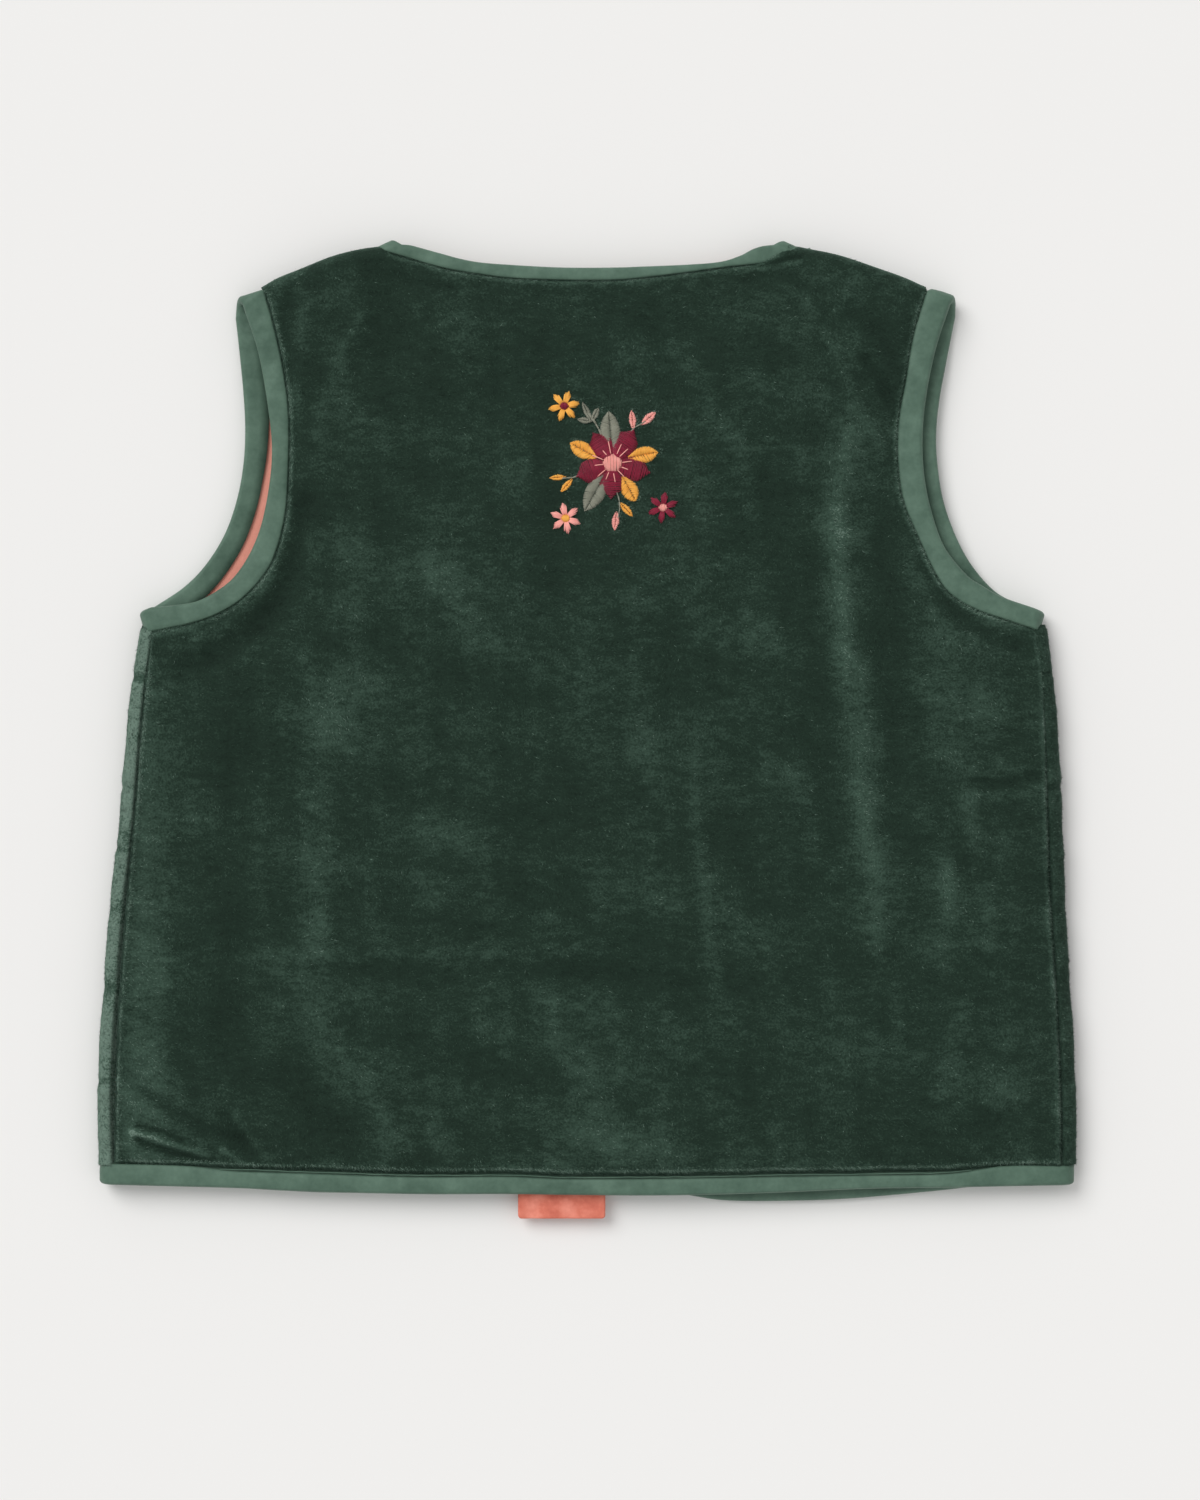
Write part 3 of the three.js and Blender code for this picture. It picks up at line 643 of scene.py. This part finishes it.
def back_surface(flat):
    """The back velvet's height over plan points, its tone (the nap, with painted highlights and painted
    shade), and the distances to its edges.
    """
    seams = [HEM_LINE, NECK_LINE, ARMHOLE_LINE["left"][:-1], ARMHOLE_LINE["right"][:-1], *SIDE_LINE.values()]
    away = [distance_to(flat, line[::2]) for line in seams]
    edge = np.min(away, axis=0)
    shoulder = np.min([distance_to(flat, line[::8]) for line in SHOULDER_LINE.values()], axis=0)
    creases, tone = relief(flat)
    rise = -1.2 + 1.85 * (1 - np.exp(-edge / 0.8)) + (PAD - 0.65) * (1 - np.exp(-edge / 22))
    calm = 1 - np.exp(-((edge / 4) ** 1.5))
    bumps = creases + waves(flat, 3, [(95, 0.5), (38, 0.3), (15, 0.12), (6, 0.04)])
    height = rise + calm * bumps * np.clip(shoulder / 8, 0.25, 1)
    over = np.clip(OUTER_R - shoulder, 0, OUTER_R)
    drop = OUTER_R - np.sqrt(OUTER_R**2 - over**2)
    # Painted highlight: a light band where the velvet rounds down at its seams and turns over the shoulders.
    rim = 1.7 * np.exp(-(((edge - 0.9) / 0.9) ** 2)) + 0.5 * np.exp(-((shoulder / 2.5) ** 2))
    tone = tone * np.clip(edge / 3, 0.2, 1) + rim + waves(flat, 8, [(60, 0.22), (22, 0.2), (9, 0.12)])
    return BACK_Z + HALF + np.clip(height, -1.3, 4.6) - drop, tone, edge, shoulder


def back_height(flat):
    return back_surface(flat)[0]


def make_back():
    plan = back_plan(226, 214)
    flat = plan.reshape(-1, 2)
    height, tone, edge, shoulder = back_surface(flat)
    under = np.clip(OUTER_R - shoulder, 0, ROLL_R - MARGIN)
    low = ROLL_Z + np.sqrt((ROLL_R - MARGIN) ** 2 - under**2)
    low = np.minimum(low + 1.3 * np.exp(-((edge / 3) ** 2)), height - 0.05)
    upper = np.column_stack([flat, height]).reshape(*plan.shape[:2], 3)
    lower = np.column_stack([flat, low]).reshape(*plan.shape[:2], 3)
    both = np.concatenate([tone, tone])
    piece = mesh_object("back_velvet", *thick_sheet(upper, lower), VELVET, "velvet", both)
    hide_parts("back_panel")
    return piece, upper, tone.reshape(plan.shape[:2]), edge.reshape(plan.shape[:2])


def roll(line, outward, first, last, steps, notches=(), light=0.25):
    """The cloth rolled round an outer edge, as outer and inner grids with the outer one's tone, which is
    painted light.

    The angles are degrees up from level. The roll puffs up between seams, puckers, and is drawn in
    at notches.
    """
    along = np.gradient(line, axis=0)
    along /= np.linalg.norm(along, axis=1)[:, None]
    way = np.column_stack([-along[:, 1], along[:, 0]]) * outward
    axis = line - way * OUTER_R
    angle = np.radians(np.linspace(first, last, steps))
    run = np.concatenate([[0], np.cumsum(np.linalg.norm(np.diff(line, axis=0), axis=1))])
    puckers = waves(np.column_stack([run, run * 0]), 21, [(23, 0.22), (9, 0.14), (4, 0.07)])
    for y, depth in notches:
        puckers -= depth * np.exp(-(((line[:, 1] - y) / 1.6) ** 2))
    # Past the seam, which is at the top, the cloth goes in under the back.
    tuck = np.clip(0.9 - (math.pi / 2 - angle) / 0.1, 0, 2.2)
    belly = np.clip(np.sin(angle + 0.5), 0, 1) * (angle < math.pi / 2)
    radius = OUTER_R + puckers[:, None] * belly[None] - tuck[None]
    inner = np.full_like(radius, ROLL_R - MARGIN)
    grids = []
    for size in (radius, inner):
        plan = axis[:, None] + way[:, None] * (size * np.cos(angle))[:, :, None]
        grids.append(np.dstack([plan, np.maximum(ROLL_Z + size * np.sin(angle), 0.05)]))
    # Painted light: lighter where the roll faces up and out towards the lamp, lighter on its puffs, darker
    # where it is drawn in.
    tone = light * (0.6 + 0.4 * np.cos(angle - 0.9))[None] + 0.9 * puckers[:, None] * np.ones(steps)
    return grids[0], grids[1], tone


# Where each side roll is drawn in, from the hem up, and how deep; and how much painted light each roll gets,
# most on the left, which faces the lamp.
SIDE_NOTCHES = {
    "left": ((41.5, 1.6), (21, 0.9), (-20, 0.8), (-43, 0.9), (-96, 0.5), (-131, 0.5)),
    "right": ((41.5, 1.6), (-20, 0.9), (-88, 0.4)),
}
SIDE_PAINTED_LIGHT = {"left": 2.6, "right": 0.3}


def front_plan(side, columns, rows):
    """A front's plan grid, from the hem to the shoulder, that stops short of the tapes' folds."""
    s = -1 if side == "left" else 1
    hem = offset_line(spline(HEM_FRONT[side], EDGE_COUNT), -s * INSET)
    hem = hem[(hem[:, 0] * s > 1.5 + INSET) & (hem[:, 0] * s < 177)]
    outer_side = offset_line(spline(SIDE_EDGE[side][:-1], EDGE_COUNT), s * OUTER_R)
    arm = offset_line(spline(ARMHOLE_FRONT[side], EDGE_COUNT), s * INSET)[3:]
    outer = np.vstack([outer_side[outer_side[:, 1] > hem[0, 1] + 1], arm])
    neck = offset_line(spline(NECK_FRONT[side], EDGE_COUNT), s * INSET)[2:-8]
    opening = np.array([[s * (1.5 + INSET), hem[-1, 1]], [s * (1.5 + INSET), neck[-1, 1]]])
    inner = np.vstack([opening, neck[::-1]])
    shoulder = offset_line(SHOULDER_LINE[side], s * OUTER_R)
    top = np.vstack([arm[-1:], shoulder[5:-5], neck[:1]])
    if side == "left":
        return patch(hem, top, outer, inner, columns, rows)
    return patch(hem[::-1], top[::-1], inner, outer, columns, rows)


def merged(parts):
    """Meshes as one: the vertices and faces of each, and its tone."""
    vertices, faces, tones, start = [], [], [], 0
    for (points, polygons), tone in parts:
        vertices.append(points)
        faces.append(np.asarray(polygons) + start)
        tones.append(tone)
        start += len(points)
    return np.vstack(vertices), np.vstack(faces), np.concatenate(tones)


def make_front(side):
    s = -1 if side == "left" else 1
    plan = front_plan(side, 60, 110)
    flat = plan.reshape(-1, 2)
    shape = (*plan.shape[:2], 3)
    tapes = [spline(line[side], EDGE_COUNT) for line in (HEM_FRONT, ARMHOLE_FRONT, NECK_FRONT)]
    tapes.append(np.array([[s * 1.5, -173], [s * 1.5, 116]]))
    edge = np.min([distance_to(flat, line) for line in tapes], axis=0) - TAPE_WIDTH
    low = 0.08 + 0.95 * np.exp(-np.maximum(edge, 0) / 0.9)
    tone = waves(flat, 12, [(60, 0.3), (22, 0.25), (9, 0.12)])
    parts = [(thick_sheet(np.column_stack([flat, np.full(len(flat), 2.5)]).reshape(shape),
                          np.column_stack([flat, low]).reshape(shape)), np.concatenate([tone, tone]))]
    side_line = spline(SIDE_EDGE[side], 220)
    side_line = side_line[(side_line[:, 1] > -162.6) & (side_line[:, 1] < 42)]
    side_roll = roll(side_line, -s, 118, -92, 26, SIDE_NOTCHES[side], SIDE_PAINTED_LIGHT[side])
    shoulder_roll = roll(SHOULDER_LINE[side][::4], -s, 14, -92, 14)
    for outer, inner, shade in (side_roll, shoulder_roll):
        parts.append((thick_sheet(outer, inner), np.concatenate([shade.ravel(), shade.ravel()])))
    vertices, faces, tones = merged(parts)
    piece = mesh_object(f"front_{side}_velvet", vertices, faces, VELVET, "velvet", tones)
    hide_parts(f"front_{side}_panel")
    plan = front_plan(side, 40, 80)
    flat = plan.reshape(-1, 2)
    shape = (*plan.shape[:2], 3)
    low = np.column_stack([flat, np.full(len(flat), 2.9)]).reshape(shape)
    high = np.column_stack([flat, 3.5 + np.clip(waves(flat, 15, [(34, 0.1)]), -0.2, 0.2)]).reshape(shape)
    lining = mesh_object(f"front_{side}_lining_cloth", *thick_sheet(high, low), COTTON, "lining")
    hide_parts(f"front_{side}_lining")
    return piece, lining, side_roll, shoulder_roll


def make_back_lining():
    plan = back_plan(90, 90, inset=OUTER_R - ROLL_R + 1.5)
    flat = plan.reshape(-1, 2)
    shape = (*plan.shape[:2], 3)
    shoulder = np.min([distance_to(flat, line[::8]) for line in SHOULDER_LINE.values()], axis=0)
    sink = np.clip(OUTER_R + 1 - shoulder, 0, 3) * 0.55
    low = np.column_stack([flat, BACK_Z - 1.25 - sink]).reshape(shape)
    high = np.column_stack([flat, BACK_Z - 0.65 - sink]).reshape(shape)
    lining = mesh_object("back_lining_cloth", *thick_sheet(high, low), COTTON, "lining")
    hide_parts("back_lining")
    return lining


def make_tape(name, node, frames, seed, closed=False, tongue=1.45):
    piece = mesh_object(name, *sweep(frames, tape_section(tongue), closed, 0.2, seed), SATEEN, "tape")
    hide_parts(node)
    return piece


def make_tab():
    """A strip of cloth folded double, its fold below and its ends up inside the hem."""
    top, fold, reach, bend = -168.0, -182.45, (-25.9, 6.9), 0.62
    turn = np.linspace(math.pi / 2, -math.pi / 2, 9)
    upper = [(y, 1.0) for y in np.linspace(top, fold + bend, 26)]
    lower = [(y, -1.0) for y in np.linspace(fold + bend, top, 26)]
    path = np.array(upper[:-1] + [(fold + bend - bend * math.cos(a), math.sin(a)) for a in turn] + lower[1:])
    x = np.linspace(*reach, 40)
    corner = np.clip((fold + 1.5 - path[:, 0]) / 1.5, 0, 1)
    pull = 1.5 * (1 - np.sqrt(1 - corner**2))
    middle = sum(reach) / 2
    grids = []
    for thick in (0.28, -0.28):
        rows = []
        for (y, level), tight in zip(path, pull):
            plan = np.column_stack([middle + (x - middle) * (1 - tight / 16.4), np.full(len(x), y)])
            drop = (top - y) / (top - fold)
            lift = 6.0 - 1.6 * drop + 0.9 * drop**3 + waves(plan, 5, [(22, 0.3), (10, 0.12)])
            z = lift + level * (bend + thick)
            rows.append(np.column_stack([plan, z]))
        grids.append(np.array(rows))
    piece = mesh_object("tab_cloth", *thick_sheet(*grids), TAB_CLOTH, "tab")
    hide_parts("hem_tab")
    return piece


def make_seam_cord():
    """The hem seam's pale edge, which shows inside the gap under the velvet."""
    line = HEM_LINE[(HEM_LINE[:, 0] > -138) & (HEM_LINE[:, 0] < 146)]
    line = at(line, np.linspace(0, 1, 300))
    wander = waves(line, 31, [(30, 0.12), (8, 0.05)])
    height = np.full(len(line), BACK_Z + HALF - 0.7)
    centre = np.column_stack([line[:, 0], line[:, 1] - 1.15 + wander, height])
    turn = np.linspace(0, 2 * math.pi, 6, endpoint=False)
    ring = 0.2 * np.column_stack([np.zeros(6), np.cos(turn), np.sin(turn)])
    vertices = (centre[:, None] + ring[None]).reshape(-1, 3)
    faces = grid_faces(len(line), 6, wrap=True).tolist()
    faces += [list(range(6))[::-1], [(len(line) - 1) * 6 + k for k in range(6)]]
    return mesh_object("hem_seam_edge", vertices, faces, SATEEN, "tape")


back, back_grid, back_nap_and_painted_light, back_edge = make_back()
back_lining = make_back_lining()
front_left, lining_left, left_side, left_shoulder = make_front("left")
front_right, lining_right, right_side, right_shoulder = make_front("right")
neck_tape = make_tape("neck_tape", "neck_binding", neck_frames(), 2)
hem_tape = make_tape("hem_tape", "hem_binding", hem_frames(), 3, tongue=2.7)
arm_tapes = [
    make_tape(f"armhole_{side}_tape", f"armhole_binding_{side}", armhole_frames(side), seed, True)
    for side, seed in (("left", 4), ("right", 5))
]
front_tapes = [
    make_tape(f"front_{side}_tape", f"front_binding_{side}", opening_frames(side), seed)
    for side, seed in (("left", 6), ("right", 7))
]
seam_cord = make_seam_cord()
tab = make_tab()

# ---------------------------------------------------------------- pile


def fibres(grid, tone, weight, count, length, width, seed):
    """Root, tip and spread of short fibres scattered over a grid, denser where the weight is more."""
    rng = np.random.default_rng(seed)
    a, b, c, d = grid[:-1, :-1], grid[:-1, 1:], grid[1:, :-1], grid[1:, 1:]
    area = np.linalg.norm(np.cross(b - a, c - a), axis=2) * weight[:-1, :-1]
    share = np.cumsum(area.ravel())
    cell = np.searchsorted(share, rng.random(count) * share[-1])
    i, j = np.unravel_index(np.minimum(cell, area.size - 1), area.shape)
    u, v = rng.random((2, count, 1))
    root = a[i, j] * (1 - u) * (1 - v) + b[i, j] * u * (1 - v) + c[i, j] * (1 - u) * v + d[i, j] * u * v
    normal = np.cross(b[i, j] - a[i, j], c[i, j] - a[i, j])
    normal /= np.maximum(np.linalg.norm(normal, axis=1)[:, None], 1e-9)
    normal *= np.where(normal[:, 2:].mean() < 0, -1, 1)
    swirl = waves(root[:, :2], 17, [(55, 0.7), (24, 0.5)]) - 0.5 + rng.normal(0, 0.45, count)
    lie = np.column_stack([np.cos(swirl), np.sin(swirl), np.zeros(count)])
    lie -= normal * np.sum(lie * normal, axis=1)[:, None]
    lie /= np.linalg.norm(lie, axis=1)[:, None]
    stand = rng.uniform(0.15, 0.75, (count, 1))
    reach = rng.uniform(*length, (count, 1))
    tip = root + reach * (lie * np.cos(stand) + normal * np.sin(stand))
    across = np.cross(lie, normal) * width / 2
    vertices = np.stack([root - across, root + across, tip], axis=1)
    # Painted glints: each fibre takes the ground's tone, raised on average, so the fibres show as light
    # specks.
    shade = tone[i, j] + rng.normal(0.35, 0.7, count)
    return vertices.reshape(-1, 3), np.repeat(shade, 3)


def make_pile(name, batches):
    made = [fibres(*batch) for batch in batches]
    vertices = np.vstack([m[0] for m in made])
    tones = np.concatenate([m[1] for m in made])
    vertices[:, 2] = np.maximum(vertices[:, 2], 0.05)
    faces = np.arange(len(vertices)).reshape(-1, 3)
    return mesh_object(name, vertices, faces, VELVET, "velvet", tones, smooth=False)


back_weight = 1 + 9 * np.exp(-((back_edge / 1.4) ** 2))
back_pile = make_pile("back_pile", [(back_grid, back_nap_and_painted_light, back_weight, 95000, (0.9, 1.7), 0.2, 41)])
# The rolls' fibres carry the rolls' painted light.
edge_pile = make_pile("edge_pile", [
    (part[0], part[2], np.ones(part[2].shape), count, (0.8, 1.4), 0.18, seed)
    for part, count, seed in ((left_side, 12000, 42), (right_side, 12000, 43), (left_shoulder, 3000, 44),
                              (right_shoulder, 3000, 45))
])

# ---------------------------------------------------------------- embroidery

THREAD = 0.21  # radius of a stitch
PITCH = 0.36  # from one stitch to the next
BOUQUET = np.array([9.5, 101.0])  # the middle of the main flower
STITCHES = {"burgundy": [], "pink": [], "ochre": [], "sage": []}


def polar(angle, radius, centre=BOUQUET):
    """The plan point at an angle in degrees and a distance from a centre."""
    turn = math.radians(angle)
    return np.asarray(centre) + radius * np.array([math.cos(turn), math.sin(turn)])


def stitch(colour, start, end, puff=0.3, lift=0.0):
    """One thread from a point to another, which stands up between them."""
    jitter = RNG.normal(0, 0.07, (2, 2))
    STITCHES[colour].append((np.asarray(start) + jitter[0], np.asarray(end) + jitter[1], puff, lift))


def leaf(colour, base, tip, width, slant=0.45, lift=0.0):
    """Satin stitch from a middle line out to both edges, slanting to the tip."""
    base, tip = np.asarray(base), np.asarray(tip)
    along = tip - base
    length = np.linalg.norm(along)
    along = along / length
    across = np.array([-along[1], along[0]])
    for t in np.arange(0.02, 1, PITCH / length):
        half = width / 2 * math.sin(math.pi * t**0.85) ** 0.8
        start = base + along * (t * length)
        reach = along * (half * slant)
        stitch(colour, start, start + across * half + reach, lift=lift)
        stitch(colour, start + along * PITCH / 2, start - across * half + reach, lift=lift)


def petal(colour, base, tip, width, lift=0.0):
    """Satin stitch right across a rounded petal that comes to a point."""
    base, tip = np.asarray(base), np.asarray(tip)
    along = tip - base
    length = np.linalg.norm(along)
    along = along / length
    across = np.array([-along[1], along[0]])
    for t in np.arange(0.01, 1, PITCH / length):
        swell = 0.28 + 0.72 * math.sin(math.pi * min(1, t * 0.93)) ** 0.75
        half = width / 2 * swell * min(1, (1.02 - t) * 4)
        middle = base + along * (t * length)
        slip = along * 0.16 * half
        stitch(colour, middle - across * half - slip, middle + across * half - slip, 0.5, lift)


def small_flower(colour, heart, centre, turn):
    """Six pointed petals in long stitches, and a knot of another colour."""
    for k in range(6):
        angle = turn + 60 * k
        across = polar(angle + 90, 1.0, (0, 0))
        for share in np.linspace(-1, 1, 9):
            foot = polar(angle, 1.0, centre) + across * share * 0.6
            tip = polar(angle, 5.9 - 1.5 * abs(share) ** 1.3, centre) + across * share * 1.15
            stitch(colour, foot, tip, 0.45, 0.1 * (1 - abs(share)))
    for offset in np.arange(-1.4, 1.5, PITCH):
        half = math.sqrt(max(0.1, 1.5**2 - offset**2))
        stitch(heart, np.asarray(centre) + (offset, -half), np.asarray(centre) + (offset, half), 0.5, 0.3)


def stem(colour, points, lift=0.05):
    """A line of stitches, end to end."""
    line = spline(points, 7)
    for a, b in zip(line[:-1], line[1:]):
        stitch(colour, a, b + (b - a) * 0.15, 0.12, lift)
        stitch(colour, a + 0.16, b + 0.16, 0.1, lift)


def embroider():
    for angle, reach in ((90, 19.5), (236, 20.5)):
        leaf("sage", polar(angle, 3), polar(angle + 4, reach), 7.6)
    for angle, reach in ((20, 17.5), (160, 17.5), (308, 16.5)):
        leaf("ochre", polar(angle, 6), polar(angle - 6, reach), 6.2)
    stem("sage", [polar(118, 6), polar(112, 14), polar(116, 21)])
    for angle, reach in ((116, 25.5), (104, 21.5), (128, 21)):
        leaf("sage", polar(116, 17.5), polar(angle, reach), 2.3)
    stem("sage", [polar(66, 6), polar(60, 14), polar(52, 20)])
    leaf("pink", polar(53, 18), polar(50, 25), 3.0)
    leaf("pink", polar(58, 15), polar(70, 21), 2.6)
    stem("sage", [polar(196, 8), polar(200, 15), polar(196, 20)])
    leaf("ochre", polar(196, 18), polar(193, 24), 2.2)
    leaf("ochre", polar(201, 16), polar(209, 22), 2.4)
    stem("sage", [polar(276, 8), polar(280, 16), polar(275, 21)])
    leaf("pink", polar(275, 18), polar(272, 25), 2.8)
    leaf("ochre", polar(281, 15), polar(291, 21), 2.6)
    for k in range(5):
        angle = 54 + 72 * k + (3, -4, 2, -2, 4)[k]
        petal("burgundy", polar(angle, 2.2), polar(angle, (15.0, 13.6, 14.4, 13.2, 14.6)[k]), 9.0, 0.15)
    for k in range(12):
        angle = 8 + 30 * k + RNG.uniform(-5, 5)
        stitch("pink", polar(angle, 3.2), polar(angle, RNG.uniform(6.2, 8.4)), 0.15, 0.75)
    for offset in np.arange(-3.3, 3.4, PITCH):
        half = math.sqrt(max(0.2, 3.45**2 - offset**2))
        stitch("pink", BOUQUET + (offset, -half), BOUQUET + (offset, half), 0.5, 0.75)
    small_flower("ochre", "burgundy", (-8.5, 122.5), 12)
    small_flower("pink", "ochre", (-8.0, 80.5), 40)
    small_flower("burgundy", "pink", (28.5, 84.5), 22)


def make_threads(colour, thread):
    """Every stitch of one colour, as tubes of five sides that follow the velvet."""
    stations, sides = 6, 5
    starts, ends, puffs, lifts = (np.array(column, float) for column in zip(*STITCHES[colour]))
    count = len(starts)
    t = np.linspace(0, 1, stations)
    run = ends - starts
    length = np.linalg.norm(run, axis=1)
    along = run / length[:, None]
    across = np.column_stack([-along[:, 1], along[:, 0], np.zeros(count)])
    plan = starts[:, None] + run[:, None] * t[None, :, None]
    arch = np.sin(math.pi * t) ** 0.6
    rise = (0.35 + puffs * np.minimum(1, length / 4))[:, None] * arch[None]
    z = back_height(plan.reshape(-1, 2)).reshape(count, stations) + lifts[:, None] + rise
    centre = np.dstack([plan, z])
    turns = np.linspace(0, 2 * math.pi, sides, endpoint=False)
    spokes = np.cos(turns)[None, :, None] * across[:, None]
    spokes = spokes + np.sin(turns)[None, :, None] * np.array([0, 0, 1.0])
    radius = THREAD * (0.75 + 0.25 * arch)
    rings = centre[:, :, None] + radius[None, :, None, None] * spokes[:, None]
    tube = grid_faces(stations, sides, wrap=True).tolist()
    tube += [list(range(sides))[::-1], [(stations - 1) * sides + k for k in range(sides)]]
    firsts = range(0, count * stations * sides, stations * sides)
    faces = [[first + k for k in face] for first in firsts for face in tube]
    return mesh_object(f"embroidery_{colour}", rings.reshape(-1, 3), faces, thread, "velvet")


def thread_material(name, dark, light):
    return material(name, (dark, light), 0.42, [(1500, 0.5, EVEN), (300, 0.9, EVEN)], 0.2, bump=0.2)


embroider()
threads = [
    make_threads("burgundy", thread_material("thread_burgundy", (0.13, 0.006, 0.02), (0.34, 0.02, 0.055))),
    make_threads("pink", thread_material("thread_pink", (0.8, 0.27, 0.24), (1.0, 0.5, 0.43))),
    make_threads("ochre", thread_material("thread_ochre", (0.82, 0.32, 0.03), (1.0, 0.56, 0.12))),
    make_threads("sage", thread_material("thread_sage", (0.15, 0.16, 0.12), (0.34, 0.34, 0.27))),
]


def make_halo():
    """The pile that the stitching crushes, which stands up light round every motif."""
    stitches = np.array([(start + end) / 2 for rows in STITCHES.values() for start, end, _, _ in rows])
    plan = back_grid[..., :2]
    near = np.linalg.norm(plan - BOUQUET, axis=2) < 40
    reach = np.full(near.shape, 99.0)
    reach[near] = np.sqrt(((plan[near][:, None] - stitches[None]) ** 2).sum(axis=2)).min(axis=1)
    weight = np.exp(-((reach / 1.5) ** 2))
    tone = back_nap_and_painted_light + 1.2 * weight
    return make_pile("embroidery_pile", [(back_grid, tone, weight, 7000, (0.6, 1.1), 0.17, 46)])


halo = make_halo()

# ---------------------------------------------------------------- stage


FRAME_HEIGHT = 0.5625  # how much of the surface the picture shows, in metres


def make_stage():
    bpy.ops.mesh.primitive_plane_add(size=6, location=(0, 0, -0.0002))
    floor = bpy.context.object
    floor.name = "floor"
    cloth = bpy.data.materials.new("floor")
    cloth.use_nodes = True
    cloth.node_tree.nodes["Principled BSDF"].inputs["Base Color"].default_value = (0.868, 0.860, 0.845, 1)
    cloth.node_tree.nodes["Principled BSDF"].inputs["Roughness"].default_value = 0.95
    floor.data.materials.append(cloth)

    key = bpy.data.lights.new("key", "SUN")
    key.energy = 1.68
    key.angle = math.radians(38)
    lamp = bpy.data.objects.new("key", key)
    lamp.rotation_euler = (math.radians(-30), math.radians(-34), 0)
    bpy.context.scene.collection.objects.link(lamp)

    world = bpy.data.worlds.new("studio")
    world.use_nodes = True
    world.node_tree.nodes["Background"].inputs["Color"].default_value = (1, 1, 1, 1)
    world.node_tree.nodes["Background"].inputs["Strength"].default_value = 0.62
    bpy.context.scene.world = world

    lens = bpy.data.cameras.new("camera")
    lens.lens = 100
    lens.sensor_fit = "VERTICAL"
    lens.sensor_height = 36
    view = bpy.data.objects.new("camera", lens)
    distance = FRAME_HEIGHT / lens.sensor_height * lens.lens
    view.location = (0.0049, -0.0062, 0.010 + distance)
    bpy.context.scene.collection.objects.link(view)
    bpy.context.scene.camera = view
    bpy.context.scene.view_settings.view_transform = "Standard"


make_stage()
